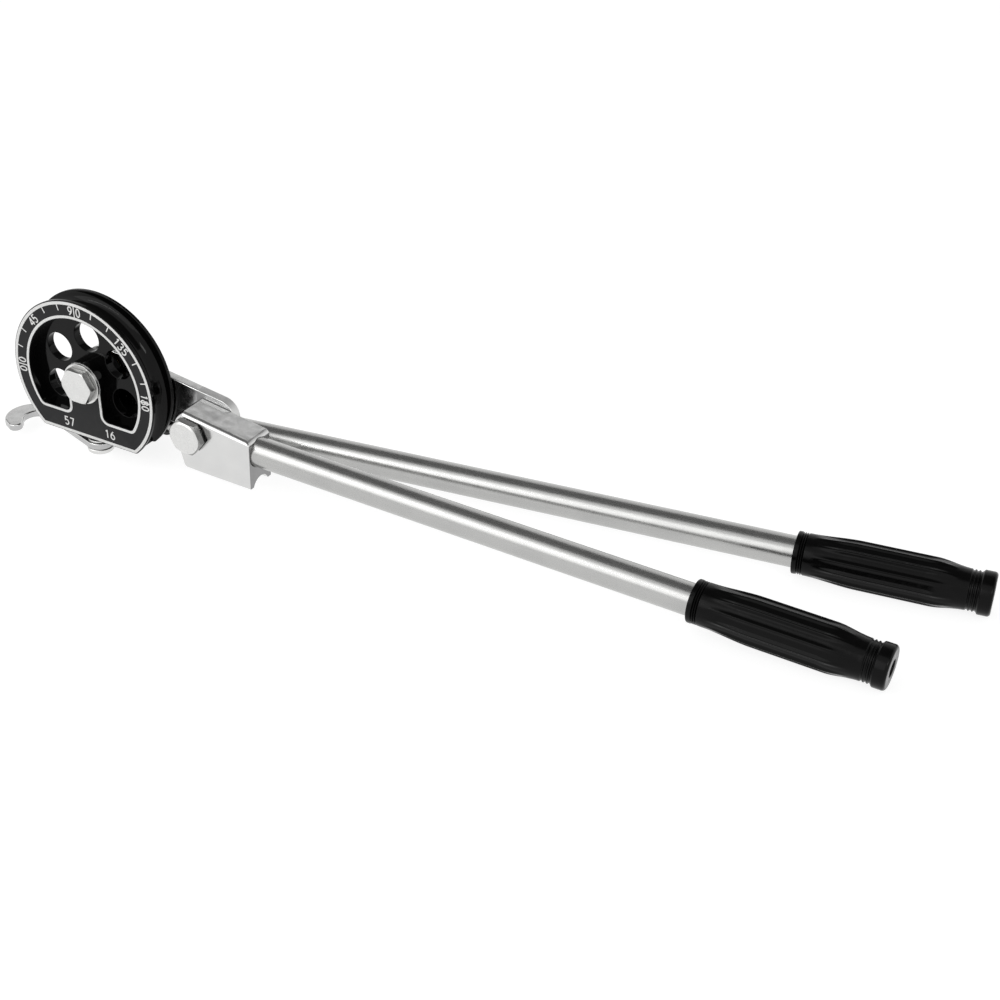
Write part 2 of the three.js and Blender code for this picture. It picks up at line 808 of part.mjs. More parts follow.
const latchTop = flatHeight - latchBossHeight - latchWasherThickness - 2 * seatGap;
const latchBottom = latchTop - latchThickness;
const latchHeadBottom = latchBottom - seatGap - latchHeadThickness;

// Seen from above: the eye, an arm behind the tube, and the hook round it with its tip in front
function hookOutline() {
  const tubeX = -wheelRadius;
  const innerRadius = bentTubeRadius + latchTubeClearance;
  const span = Math.hypot(tubeX - latchX, centerDepth - latchDepth);
  const heading = Math.atan2(centerDepth - latchDepth, tubeX - latchX) + 2 * halfTurn;
  const frontAngle = heading + Math.acos((innerRadius + latchEyeRadius) / span);
  const outerSpan = Math.hypot(hookOuterX - latchX, hookOuterDepth - latchDepth);
  const outerHeading = Math.atan2(hookOuterDepth - latchDepth, hookOuterX - latchX) + 2 * halfTurn;
  const backAngle = outerHeading - Math.acos((latchEyeRadius - hookOuterRadius) / outerSpan);
  return outline([
    ...arcPoints(latchX, latchDepth, latchEyeRadius, frontAngle, backAngle + 2 * halfTurn, boltFacets),
    ...arcPoints(
      hookOuterX, hookOuterDepth, hookOuterRadius, backAngle, hookShoulderAngle * degrees, boltFacets,
    ),
    [hookTipX, hookTipDepth - hookTipThickness],
    [hookTipX, hookTipDepth],
    ...arcPoints(
      tubeX, centerDepth, innerRadius, hookMouthAngle * degrees, frontAngle - halfTurn, boltFacets,
    ),
  ]);
}

function latchHook() {
  const geometry = new THREE.ExtrudeGeometry(hookOutline(), {
    depth: latchThickness - 2 * fineBevel,
    bevelEnabled: true,
    bevelSize: fineBevel,
    bevelThickness: fineBevel,
    bevelOffset: -fineBevel,
    bevelSegments: 1,
  }).translate(0, 0, latchBottom + fineBevel);
  const hole = solid(latchRod(
    latchShankRadius + bossClearance, latchBottom - overrun, latchTop + overrun, sleeveFacets,
  ));
  return piece("latch_hook", cutFrom(solid(geometry), hole), brightPlating);
}

function latchScrew() {
  const headTop = latchBottom - seatGap;
  const shankTop = flatHeight + latchShankReach;
  const headEdge = arcPoints(
    latchHeadRadius - latchHeadRounding, latchHeadBottom + latchHeadRounding, latchHeadRounding,
    -quarterTurn, 0, filletFacets,
  );
  const body = turned([
    [0, latchHeadBottom],
    ...headEdge,
    [latchHeadRadius, headTop],
    [latchShankRadius, headTop],
    [latchShankRadius, shankTop],
    [0, shankTop],
  ], boltFacets);
  return piece("latch_screw", solid(alongZ(body).translate(latchX, latchDepth, 0)), zincPlating);
}

function latchWasher() {
  const top = flatHeight - latchBossHeight - seatGap;
  const flat = ring(
    latchShankRadius + bossClearance, latchWasherRadius, top - latchWasherThickness, top, boltFacets,
  );
  return piece("latch_washer", solid(alongZ(flat).translate(latchX, latchDepth, 0)), zincPlating);
}

// Assembly

const tool = new THREE.Group();
tool.add(formerWheel(), ...centerStack(), latchScrew(), latchWasher(), latchHook(), formHandle());

const link = new THREE.Group();
link.rotation.y = -linkAngle * degrees;
link.add(...linkPieces());
tool.add(link);

const shoe = new THREE.Group();
shoe.position.x = linkLength * Math.cos(linkAngle * degrees);
shoe.position.z = linkLength * Math.sin(linkAngle * degrees);
shoe.rotation.y = -shoeAngle * degrees;
shoe.add(shoeBlock(), ...shoePivotParts(), shoeHandle());
tool.add(shoe);

// Stands on the latch screw's head and both grips: the lowest slope from the head's edge to a grip
function standingTilt() {
  tool.updateMatrixWorld(true);
  const footX = latchX + latchHeadRadius - latchHeadRounding;
  const point = new THREE.Vector3();
  let slope = Infinity;
  for (const name of ["shoe_grip", "form_grip"]) {
    const mesh = tool.getObjectByName(name);
    const corners = mesh.geometry.attributes.position;
    for (let count = 0; count < corners.count; count += 1) {
      point.fromBufferAttribute(corners, count).applyMatrix4(mesh.matrixWorld);
      slope = Math.min(slope, (point.z - latchHeadBottom) / (point.x - footX));
    }
  }
  return Math.atan(slope);
}

tool.rotation.y = standingTilt();
tool.updateMatrixWorld(true);
const bounds = new THREE.Box3().setFromObject(tool, true);
const middle = bounds.getCenter(new THREE.Vector3());
tool.position.set(-middle.x, -middle.y, -bounds.min.z);

const tubeBender = new THREE.Group();
tubeBender.add(tool);

export default tubeBender;
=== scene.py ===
# %% [markdown]
# # A lever tube bender
# The real tool bends a soft 16 mm tube round a grooved black wheel. Its degree face is flat and marked in
# white, a nickel-plated shoe on a swinging link presses the tube into the groove, a hook holds the tube's
# end, and two long satin handles with fluted rubber grips give the leverage.
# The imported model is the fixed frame: it gives every size, place and joint. This lesson builds a finer
# skin round it, piece by piece, and gives each skin the finish of the real metal, enamel or rubber.

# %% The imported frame
import json
import math

import bmesh
import bpy
from mathutils import Matrix, Vector


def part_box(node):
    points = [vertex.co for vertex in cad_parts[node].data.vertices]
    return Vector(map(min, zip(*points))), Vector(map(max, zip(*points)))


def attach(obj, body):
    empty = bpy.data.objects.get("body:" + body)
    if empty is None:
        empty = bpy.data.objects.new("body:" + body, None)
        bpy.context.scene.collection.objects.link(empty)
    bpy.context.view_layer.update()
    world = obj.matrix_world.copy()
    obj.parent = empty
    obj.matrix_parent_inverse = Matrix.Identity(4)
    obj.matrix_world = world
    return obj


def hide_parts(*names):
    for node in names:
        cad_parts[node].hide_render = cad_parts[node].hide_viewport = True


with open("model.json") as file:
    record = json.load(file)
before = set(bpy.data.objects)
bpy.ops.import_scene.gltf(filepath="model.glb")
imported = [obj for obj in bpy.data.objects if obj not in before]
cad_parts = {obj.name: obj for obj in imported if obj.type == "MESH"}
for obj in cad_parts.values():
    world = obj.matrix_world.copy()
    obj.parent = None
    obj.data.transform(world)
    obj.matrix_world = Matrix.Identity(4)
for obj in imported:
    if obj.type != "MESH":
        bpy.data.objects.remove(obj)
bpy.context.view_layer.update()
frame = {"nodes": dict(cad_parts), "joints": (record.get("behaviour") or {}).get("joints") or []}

joints = {joint["name"]: joint for joint in frame["joints"]}

# %% [markdown]
# ## Frames of the tool
# Each piece is easiest to draw in the frame that its maker used: the wheel about its own centre, the shoe
# about its pivot, a handle along its own length. The tool lies a little tilted on the bench, so one matrix
# carries each frame into the row frame and turns millimetres into metres. The places come from the joints.

# %% Frames from the joints
MM = 0.001
LINK_LENGTH = 86.4
SHOE_ANGLE = -0.93
WHEEL_WIDTH = 21.0
CENTER_DEPTH = WHEEL_WIDTH / 2
FORM_HANDLE_DEPTH = 34.46
FORM_HANDLE_HEIGHT = -33.97
FORM_HANDLE_HEADING = Vector((1, 0.1198, 0.0224)).normalized()
SHOE_HANDLE_DROP = 3.9
LATCH_X = -2.0
LATCH_DEPTH = 11.5

upright = Vector(joints["latch_swing"]["axis"])
tilt = math.atan2(upright.x, upright.z)
wheel_center = Vector(joints["link_swing"]["pos_m"])
wheel_center.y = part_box("former_wheel")[0].y
wheel_frame = (Matrix.Translation(wheel_center) @ Matrix.Rotation(tilt, 4, "Y") @ Matrix.Scale(MM, 4))
pivot = wheel_frame.inverted() @ Vector(joints["shoe_pivot"]["pos_m"])
link_angle = math.atan2(pivot.z, pivot.x)
link_frame = wheel_frame @ Matrix.Rotation(-link_angle, 4, "Y")
shoe_frame = (wheel_frame @ Matrix.Translation((pivot.x, 0, pivot.z))
              @ Matrix.Rotation(-math.radians(SHOE_ANGLE), 4, "Y"))
shoe_handle_frame = shoe_frame @ Matrix.Translation((0, CENTER_DEPTH, -SHOE_HANDLE_DROP))
form_handle_frame = (wheel_frame @ Matrix.Translation((0, FORM_HANDLE_DEPTH, FORM_HANDLE_HEIGHT))
                     @ Vector((1, 0, 0)).rotation_difference(FORM_HANDLE_HEADING).to_matrix().to_4x4())
latch_frame = wheel_frame @ Matrix.Translation((LATCH_X, LATCH_DEPTH, 0))
print("tilt", round(math.degrees(tilt), 3), "link angle", round(math.degrees(link_angle), 2))

# %% [markdown]
# ## The camera
# The photograph looks down on the tool from the front right with a fairly long lens. The place was solved
# from the wheel's degree marks, so it is written in the wheel's frame and moves with the wheel.

# %% Camera
CAMERA_PLACE = Vector((660.44, -676.86, 501.26))
CAMERA_RIGHT = Vector((0.87757, 0.47866, 0.02746))
CAMERA_AHEAD = Vector((-0.39008, 0.74613, -0.53957))
LENS = 57.6
SENSOR = 36.0


def in_scene(name, data):
    """A new object with its data, linked to the scene."""
    thing = bpy.data.objects.new(name, data)
    bpy.context.scene.collection.objects.link(thing)
    return thing


turn = Matrix.Rotation(tilt, 3, "Y")
right = (turn @ CAMERA_RIGHT).normalized()
back = (turn @ -CAMERA_AHEAD).normalized()
up = back.cross(right).normalized()
camera_data = bpy.data.cameras.new("photo_camera")
camera_data.lens = LENS
camera_data.sensor_width = SENSOR
camera = in_scene("photo_camera", camera_data)
camera.matrix_world = (Matrix.Translation(wheel_frame @ CAMERA_PLACE)
                       @ Matrix((right, up, back)).transposed().to_4x4())
bpy.context.scene.camera = camera
bpy.context.scene.view_settings.view_transform = "Standard"
print("camera at", [round(v, 3) for v in camera.location])

# %% [markdown]
# ## Nodes
# The room, the paper, the finishes and the repeated shapes are all node trees. They could be wired by hand in
# the editor, but a script can be read and run again. One function makes a node. Its inputs go in by name or
# number, each as a value, a socket or another node, whose first output is linked.

# %% A node and its inputs


def fed(tree, made, inputs):
    for place, value in dict(inputs).items():
        if isinstance(value, bpy.types.Node):
            value = value.outputs[0]
        if isinstance(value, bpy.types.NodeSocket):
            tree.links.new(value, made.inputs[place])
        else:
            made.inputs[place].default_value = value
    return made


def node(tree, kind, inputs=(), **settings):
    made = tree.nodes.new(kind)
    for name, value in settings.items():
        setattr(made, name, value)
    return fed(tree, made, inputs)


def calc(tree, operation, *values):
    return node(tree, "ShaderNodeMath", enumerate(values), operation=operation)


def principled(name, color, metallic, roughness, level=0.5):
    material = bpy.data.materials.new(name)
    material.use_nodes = True
    tree = material.node_tree
    shader = fed(tree, tree.nodes["Principled BSDF"], {
        "Base Color": (*color, 1), "Metallic": metallic, "Roughness": roughness, "Specular IOR Level": level})
    return material, tree, shader


print("node tools ready")

# %% [markdown]
# ## Studio light
# The photograph was taken in a white studio: a wide soft box in front and above, a strip light and a small
# side box for bright lines on the metal, a white sweep below and behind. A polished tube mirrors the whole
# room, so a dark card hangs overhead, where a studio ceiling is dark, and a bright one stands behind. Only
# reflections see them, and they give the metal its dark band and its light one.

# %% Lamps, sweep and cards
# A lamp's place, target, size in metres and power; a card's place and glow.
LAMPS = {
    "front_soft_box": ((-0.75, -1.35, 1.15), (0, 0, 0), (2.4, 1.25), 10.0),
    "front_strip_light": ((-0.945, -1.2, 1.22), (-0.225, 0, 0), (1.15, 0.03), 1.94),
    "side_soft_box": ((1.5, -0.95, 1.2), (-0.2, 0, 0), (0.5, 0.5), 4.0),
}
CARDS = {"ceiling_card": ((-0.6, 0.5, 1.5), 0.16), "wall_card": ((-0.6, 2.3, 1.5), 0.8)}
CARD_SIZE = (5.0, 1.8)
SWEEP_SIZE = (24.0, 24.0)
SWEEP_GLOW = 0.86
SWEEP_WHITE = 0.8
SWEEP_SEEN_WHITE = 0.3
ROOM_LIGHT = 0.5
ROOM_SEEN = 1.0


def soft_box(name, place, target, size, power):
    lamp = bpy.data.lights.new(name, "AREA")
    lamp.shape = "RECTANGLE"
    lamp.size, lamp.size_y = size
    lamp.energy = power
    holder = in_scene(name, lamp)
    holder.location = place
    holder.rotation_euler = (Vector(target) - Vector(place)).to_track_quat("-Z", "Y").to_euler()


def sheet_object(name, size, place, material):
    mesh = bpy.data.meshes.new(name)
    x, y = size[0] / 2, size[1] / 2
    mesh.from_pydata([(-x, -y, 0), (x, -y, 0), (x, y, 0), (-x, y, 0)], [], [(0, 1, 2, 3)])
    mesh.transform(Matrix.Translation(place))
    mesh.materials.append(material)
    thing = in_scene(name, mesh)
    return thing


def reflected_card(name, place, glow):
    """A card of even brightness that only reflections see."""
    material, tree, shader = principled(name, (0, 0, 0), 0.0, 1.0)
    fed(tree, shader, {"Emission Color": (1, 1, 1, 1), "Emission Strength": glow})
    card = sheet_object(name, CARD_SIZE, place, material)
    for kind in ("camera", "diffuse", "shadow", "transmission", "volume_scatter"):
        setattr(card, "visible_" + kind, False)


def emptied(data):
    data.use_nodes = True
    data.node_tree.nodes.clear()
    return data.node_tree


def shown_apart(tree, output, unseen, seen):
    """One shader for the light that it gives, the other where camera, glossy and transmission rays see it."""
    path = node(tree, "ShaderNodeLightPath").outputs
    rays = calc(tree, "MAXIMUM", path["Is Camera Ray"], path["Is Glossy Ray"])
    rays = calc(tree, "MAXIMUM", rays, path["Is Transmission Ray"])
    node(tree, output, {"Surface": node(tree, "ShaderNodeMixShader", {0: rays, 1: unseen, 2: seen})})


for name, settings in LAMPS.items():
    soft_box(name, *settings)
world = bpy.data.worlds.new("white_room")
bpy.context.scene.world = world
room = emptied(world)
shown_apart(room, "ShaderNodeOutputWorld", *(
    node(room, "ShaderNodeBackground", {"Color": (1, 1, 1, 1), "Strength": strength})
    for strength in (ROOM_LIGHT, ROOM_SEEN)))

paper = bpy.data.materials.new("white_sweep_paper")
tree = emptied(paper)
matt, seen_matt = (node(tree, "ShaderNodeBsdfDiffuse", {"Color": (white, white, white, 1)})
                   for white in (SWEEP_WHITE, SWEEP_SEEN_WHITE))
glow = node(tree, "ShaderNodeEmission", {"Strength": SWEEP_GLOW})
seen_paper = node(tree, "ShaderNodeAddShader", {0: seen_matt, 1: glow})
shown_apart(tree, "ShaderNodeOutputMaterial", matt, seen_paper)
sheet_object("sweep", SWEEP_SIZE, (0, 0, 0), paper)
for name, settings in CARDS.items():
    reflected_card(name, *settings)

# %% [markdown]
# ## Drawing tools
# A turned piece is a profile spun round the depth axis; a cut plate is an outline given thickness, its edges
# rounded by stacking slightly smaller outlines. Both are rows of points joined by faces, so one function
# skins them. Bevel modifiers could round edges too, but a cut plate has tiny edges that stop them short.

# %% Points and skins
WHOLE = 360.0
ROUNDING_STEPS = 4


def arc(center_x, center_y, radius, start, end, steps):
    points = []
    for step in range(steps + 1):
        angle = math.radians(start + (end - start) * step / steps)
        points.append((center_x + radius * math.cos(angle), center_y + radius * math.sin(angle)))
    return points


def front_edge(radius, front, rounding, steps=ROUNDING_STEPS):
    """The rounded front edge of a turned profile, from its face outwards."""
    return arc(radius - rounding, front + rounding, rounding, -90, 0, steps)


def back_edge(radius, back, rounding, steps=ROUNDING_STEPS):
    return arc(radius - rounding, back - rounding, rounding, 0, 90, steps)


def skin(name, rings, closed=False):
    """Faces between neighbouring rings of points; a ring of one point is a pole, open ends get a flat cap."""
    shape = bmesh.new()
    rows = [[shape.verts.new(point) for point in ring] for ring in rings]
    for first, second in zip(rows, rows[1:] + (rows[:1] if closed else [])):
        count = max(len(first), len(second))
        for side in range(count):
            beside = (side + 1) % count
            corners = [first[side % len(first)], first[beside % len(first)],
                       second[beside % len(second)], second[side % len(second)]]
            shape.faces.new(list(dict.fromkeys(corners)))
    if not closed:
        for row in (rows[0], rows[-1]):
            if len(row) > 2:
                shape.faces.new(row)
    bmesh.ops.recalc_face_normals(shape, faces=shape.faces)
    mesh = bpy.data.meshes.new(name)
    shape.to_mesh(mesh)
    shape.free()
    return in_scene(name, mesh)


def circle(radius, depth, steps):
    """Points round the depth axis, or the one point on it."""
    return [(x, depth, z) for x, z in arc(0, 0, radius, 0, WHOLE, steps)[:-1]] if radius else [(0, depth, 0)]


def turned(name, profile, steps):
    """A profile of (radius, depth) spun round the depth axis, closed on itself when it is a ring."""
    return skin(name, [circle(radius, depth, steps) for radius, depth in profile], closed=profile[0][0] > 0)


def inset(outline, distance):
    """The outline moved inwards, each corner where its two moved edges meet; points run counter-clockwise."""
    moved = []
    for place, point in enumerate(outline):
        here = Vector(point)
        before = (here - Vector(outline[place - 1])).normalized()
        after = (Vector(outline[(place + 1) % len(outline)]) - here).normalized()
        normal = Vector((-before.y - after.y, before.x + after.x))
        moved.append(tuple(here + normal * (distance / (1 + before.dot(after)))))
    return moved


def edge_rows(radius, steps):
    """Distances inwards and depths of an edge's rounding, from the face on."""
    leans = [math.pi / 2 * step / steps for step in range(steps + 1)]
    return [(radius * (1 - math.sin(lean)), radius * (1 - math.cos(lean))) for lean in leans]


def rounded_slab(name, outline, front, back, radius):
    """An outline in X and Z between two depths, its front and back edges rounded."""
    rows = [(distance, front + depth) for distance, depth in edge_rows(radius, ROUNDING_STEPS)]
    rows += [(distance, front + back - depth) for distance, depth in reversed(rows)]
    return skin(name, [[(x, depth, z) for x, z in inset(outline, distance)] for distance, depth in rows])


print("drawing tools ready")

# %% [markdown]
# Holes and windows are cut with the exact boolean, whose cutters flare at the mouth to leave a rounded
# edge. A hole could also be left open in the skin, but a drill can cross a curved groove or a round socket.
# Each cut is made part of the mesh at once, and then the piece is turned or moved to where it belongs.

# %% Cuts and moves
HOLE_STEPS = 72
PIN_HOLE_STEPS = 32
HOLE_EASE = 0.3
EDGE_STEPS = 3
DRILL_OVERRUN = 1.0


def settled(thing):
    """The object with its modifiers made part of its mesh."""
    bpy.context.view_layer.update()
    graph = bpy.context.evaluated_depsgraph_get()
    mesh = bpy.data.meshes.new_from_object(thing.evaluated_get(graph))
    thing.modifiers.clear()
    old = thing.data
    thing.data = mesh
    bpy.data.meshes.remove(old)
    return thing


def combined(thing, operation, *tools):
    for tool in tools:
        change = thing.modifiers.new("combine", "BOOLEAN")
        change.operation = operation
        change.solver = "EXACT"
        change.object = tool
        settled(thing)
        bpy.data.objects.remove(tool)
    return thing


def carved(thing, *tools):
    return combined(thing, "DIFFERENCE", *tools)


def drill(name, radius, front, back, steps=PIN_HOLE_STEPS):
    return turned(name, [(0, front), (radius, front), (radius, back), (0, back)], steps)


def flared_drill(name, radius, front, back, flare=HOLE_EASE):
    """A drill whose ends widen, so that the hole it cuts has eased edges. Its ends overrun the faces."""
    mouth = [(radius + wide, front + deep) for wide, deep in edge_rows(flare, EDGE_STEPS)]
    far = [(wide, front + back - depth) for wide, depth in reversed(mouth)]
    start, end, rim = front - DRILL_OVERRUN, back + DRILL_OVERRUN, radius + flare
    return turned(name, [(0, start), (rim, start)] + mouth + far + [(rim, end), (0, end)], HOLE_STEPS)


def moved(thing, matrix):
    thing.data.transform(matrix)
    return thing


def shifted(thing, x, y=0, z=0):
    return moved(thing, Matrix.Translation((x, y, z)))


def along_x(thing):
    """The depth axis laid along +X, for tubes and grips."""
    return moved(thing, Matrix.Rotation(-math.pi / 2, 4, "Z"))


def along_z(thing):
    """The depth axis stood up along +Z, for the latch; a drawing in X and Y then stands on the face."""
    return moved(thing, Matrix.Rotation(math.pi / 2, 4, "X"))


print("cutting tools ready")

# %% [markdown]
# ## Putting a piece on the tool
# A finished piece sits at the origin with its place in its mesh. Before it is carried there, each point
# keeps its own place on the piece, in millimetres, as an attribute: grain on a tube then follows the tube,
# whichever way the tube points. Weighted normals keep big flats flat beside their rounded edges.

# %% Placing
SHARP = 38.0


def fitted(thing, place, material, body, nodes, sharp=SHARP):
    mesh = thing.data
    own = mesh.attributes.get("own_place") or mesh.attributes.new("own_place", "FLOAT_VECTOR", "POINT")
    own.data.foreach_set("vector", [value for vertex in mesh.vertices for value in vertex.co])
    mesh.transform(place)
    mesh.materials.clear()
    mesh.materials.append(material)
    mesh.polygons.foreach_set("use_smooth", [True] * len(mesh.polygons))
    mesh.set_sharp_from_angle(angle=math.radians(sharp))
    weighted = thing.modifiers.new("weighted", "WEIGHTED_NORMAL")
    weighted.keep_sharp = True
    settled(thing)
    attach(thing, body)
    if nodes:
        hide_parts(*nodes)
    print("fitted", thing.name, "on", body, len(thing.data.polygons), "faces")
    return thing


# %% [markdown]
# ## Finishes
# Every finish is one principled shader with noise for what the eye reads as material: the orange peel of
# enamel, the lengthwise grain of a drawn and plated tube, the slight waves of polished plating.
# The noise is in millimetres, from the piece's own places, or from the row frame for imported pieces.

# %% Building blocks of a finish
NOISE_MIDDLE = {"From Min": 0.3, "From Max": 0.7}


def own_places(tree, stretch=(1, 1, 1)):
    """The piece's own places in millimetres."""
    place = node(tree, "ShaderNodeAttribute", attribute_name="own_place").outputs["Vector"]
    return node(tree, "ShaderNodeMapping", {"Vector": place, "Scale": stretch})


def row_places(tree, stretch=(1, 1, 1)):
    """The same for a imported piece: its places in the row frame, in millimetres."""
    place = node(tree, "ShaderNodeTexCoord").outputs["Object"]
    return node(tree, "ShaderNodeMapping", {"Vector": place, "Scale": [value / MM for value in stretch]})


def noise(tree, places, scale, detail):
    return node(tree, "ShaderNodeTexNoise", {"Vector": places, "Scale": scale, "Detail": detail})


def spread(tree, places, scale, detail, low, high):
    """A noise whose middle range is stretched to low and high."""
    cloud = noise(tree, places, scale, detail)
    return node(tree, "ShaderNodeMapRange", {"Value": cloud, **NOISE_MIDDLE, "To Min": low, "To Max": high})


def mixed(tree, share, first, other):
    """The first colour where the share is 0, the other where it is 1."""
    mix = node(tree, "ShaderNodeMix", {"Factor": share, "A": first, "B": other}, data_type="RGBA")
    return mix.outputs["Result"]


def tint(tree, places, scale, detail, low, high):
    return mixed(tree, noise(tree, places, scale, detail), (*low, 1), (*high, 1))


def beyond(tree, axis, limit, operation="GREATER_THAN"):
    """1 where the piece's own place lies beyond a limit along an axis, 0 elsewhere."""
    split = node(tree, "ShaderNodeSeparateXYZ", {0: own_places(tree)})
    return calc(tree, operation, split.outputs[axis], limit)


print("finish tools ready")

# %% [markdown]
# One function makes all finishes. Tones and roughness each come from a noise, given by its scale, its detail
# and the two ends that it runs between. A patch has other tones beyond a limit, and rougher adds to the
# roughness beyond one. A bump is given by the scale and detail of its noise, its strength and its distance.
# The roughness and the first bump follow the grain.

# %% One function for all finishes


def finish(name, color, metallic, roughness, tones, patch=None, rough=None, rougher=None, bumps=(),
           level=0.5, places_of=own_places, grain=(1, 1, 1)):
    material, tree, shader = principled(name, color, metallic, roughness, level)
    places, along = places_of(tree), places_of(tree, grain)
    wires = {"Base Color": tint(tree, places, *tones)}
    if patch:
        side, other = patch
        there = beyond(tree, *side)
        wires["Base Color"] = mixed(tree, there, wires["Base Color"], tint(tree, places, *other))
    if rough:
        wires["Roughness"] = spread(tree, along, *rough)
    if rougher:
        side, more = rougher
        wires["Roughness"] = calc(tree, "MULTIPLY_ADD", beyond(tree, *side), more, wires["Roughness"])
    under = {}
    for (scale, detail, strength, distance), where in zip(bumps, (along, places)):
        height = noise(tree, where, scale, detail)
        under = {"Normal": node(tree, "ShaderNodeBump", {
            "Height": height, "Strength": strength, "Distance": distance, **under})}
    fed(tree, shader, {**wires, **under})
    print("finish", name)
    return material


print("finish maker ready")

# %% [markdown]
# ### Enamel, lettering and rubber
# The casting is brushed with black enamel: nearly black, glossy enough to show soft streaks of light, with
# a fine orange peel over the sand texture of the casting. Its dial face is painted a little lighter, as a
# painted reflection of the white floor that the flat face mirrors. The lettering is printed in warm white.
# The grips are
# moulded rubber: black too, but duller, with a fine leathery texture.

# %% Black enamel, white print, rubber
# Painted reflection: the dial face gets lighter tones that stand for the white floor mirrored in the flat
# face.
DIAL_FACE_PAINTED_REFLECTION = ("Y", 0.1, "LESS_THAN")
DEEP_BLACK = ((0.001, 0.001, 0.001), (0.003, 0.003, 0.003))

black_enamel = finish(
    "black_enamel", (0.008, 0.008, 0.009), 0.0, 0.3, level=0.14,
    tones=(0.12, 4.0, *DEEP_BLACK),
    # the dial face's lighter tones: painted reflection of the white floor
    patch=(DIAL_FACE_PAINTED_REFLECTION, (0.12, 4.0, (0.014, 0.014, 0.015), (0.021, 0.021, 0.022))),
    rough=(0.35, 3.0, 0.05, 0.1), bumps=((1.1, 2.0, 0.05, 0.0002), (0.25, 3.0, 0.07, 0.0004)))
dial_white = finish(
    "white_print", (0.8, 0.8, 0.79), 0.0, 0.55,
    tones=(1.3, 3.0, (0.86, 0.86, 0.85), (0.93, 0.93, 0.92)), bumps=((3.0, 3.0, 0.15, 0.0001),))
grip_rubber = finish(
    "moulded_rubber", (0.004, 0.004, 0.004), 0.0, 0.34, level=0.12,
    tones=(0.2, 4.0, *DEEP_BLACK),
    rough=(0.5, 3.0, 0.16, 0.26), bumps=((2.4, 3.0, 0.12, 0.0002), (0.3, 2.0, 0.15, 0.0004)))

# %% [markdown]
# ### Plated and turned metals
# The shoe, link and hook are polished and nickel plated: a near mirror with slow waves. One side of each is
# painted darker, as painted shade: the shoe's end, which mirrors the shadow under the handles, the link's
# front face, which mirrors the black wheel, and the hook's underside, which faces the shaded floor. The tubes
# are drawn,
# brushed lengthwise and plated satin: short fine scratches along X. Bolts and washers are zinc plated, a
# greyer and softer shine with cloudy patches, and the sides of their heads are painted darker, as painted
# shade. Bushes are turned bronze and the roll pins dark spring steel.

# %% Metals
# Painted shade: the sides beyond these limits get darker tones for the shadow and the dark things that they
# mirror.
SHOE_END_SHADE = ("X", 45.0)
LINK_FACE_SHADE = ("Y", 21.9, "LESS_THAN")
LINK_CORNER = ("X", 74.0)
HOOK_UNDERSIDE_SHADE = ("Z", -48.0, "LESS_THAN")
# Painted shade: the sides of a bolt head, behind its face, get darker tones.
HEAD_SIDES_SHADE = ("Y", -6.9)


def polished_nickel(name, shaded_side, shaded_tones, rougher=None):
    # Painted shade: one side of the piece gets these darker tones.
    shaded = [(tone, tone, tone) for tone in shaded_tones]
    return finish(
        name, (0.66, 0.66, 0.65), 1.0, 0.16,
        tones=(0.06, 3.0, (0.6, 0.6, 0.6), (0.7, 0.7, 0.69)), patch=(shaded_side, (0.06, 3.0, *shaded)),
        rough=(0.25, 5.0, 0.12, 0.24), rougher=rougher,
        bumps=((0.09, 1.0, 0.25, 0.0008), (2.0, 2.0, 0.06, 0.0001)))


def zinc(name, patch=None):
    return finish(
        name, (0.71, 0.71, 0.7), 1.0, 0.3,
        tones=(0.18, 5.0, (0.65, 0.65, 0.64), (0.76, 0.76, 0.75)), patch=patch,
        rough=(0.5, 4.0, 0.24, 0.38), bumps=((1.5, 3.0, 0.12, 0.0001),))


# The darker side of each of these pieces is painted shade.
shoe_nickel = polished_nickel("polished_shoe_nickel", SHOE_END_SHADE, (0.24, 0.32))
link_nickel = polished_nickel("polished_link_nickel", LINK_FACE_SHADE, (0.34, 0.46), (LINK_CORNER, 0.26))
hook_nickel = polished_nickel("polished_hook_nickel", HOOK_UNDERSIDE_SHADE, (0.42, 0.54))
tube_nickel = finish(
    "satin_nickel", (0.49, 0.49, 0.48), 1.0, 0.28, grain=(0.12, 1, 1),
    tones=(0.05, 4.0, (0.42, 0.42, 0.415), (0.5, 0.5, 0.49)),
    rough=(1.6, 4.0, 0.22, 0.31), bumps=((4.0, 3.0, 0.03, 0.0001), (1.4, 3.0, 0.02, 0.0001)))
bolt_zinc = zinc("zinc_plating")
# The heads' darker sides are painted shade.
shaded_head_zinc = zinc("zinc_plated_head_painted_shade", (HEAD_SIDES_SHADE, (0.4, 3.0, (0.16, 0.16, 0.16), (0.4, 0.4, 0.39))))
bushing_bronze = finish(
    "turned_bronze", (0.58, 0.42, 0.22), 1.0, 0.35, places_of=row_places, grain=(0.2, 3, 0.2),
    tones=(0.4, 3.0, (0.5, 0.36, 0.19), (0.62, 0.46, 0.25)), bumps=((1.0, 3.0, 0.15, 0.0001),))
pin_steel = finish(
    "tempered_spring_steel", (0.2, 0.21, 0.23), 1.0, 0.4, places_of=row_places,
    tones=(0.6, 3.0, (0.16, 0.17, 0.19), (0.26, 0.27, 0.29)), rough=(1.2, 3.0, 0.32, 0.48))

# %% [markdown]
# ## The forming wheel
# One casting, machined where the tube runs. A profile turned about the axle gives the rim, the half-round
# groove, the web and the hub; the flat foot is what a keeper block leaves of the disc. The arched window is
# cut from the face with the stem and the boss left standing, and five round holes lighten the web.
# Turning and cutting follow the real making, and give true circles that a sculpted form would not have.

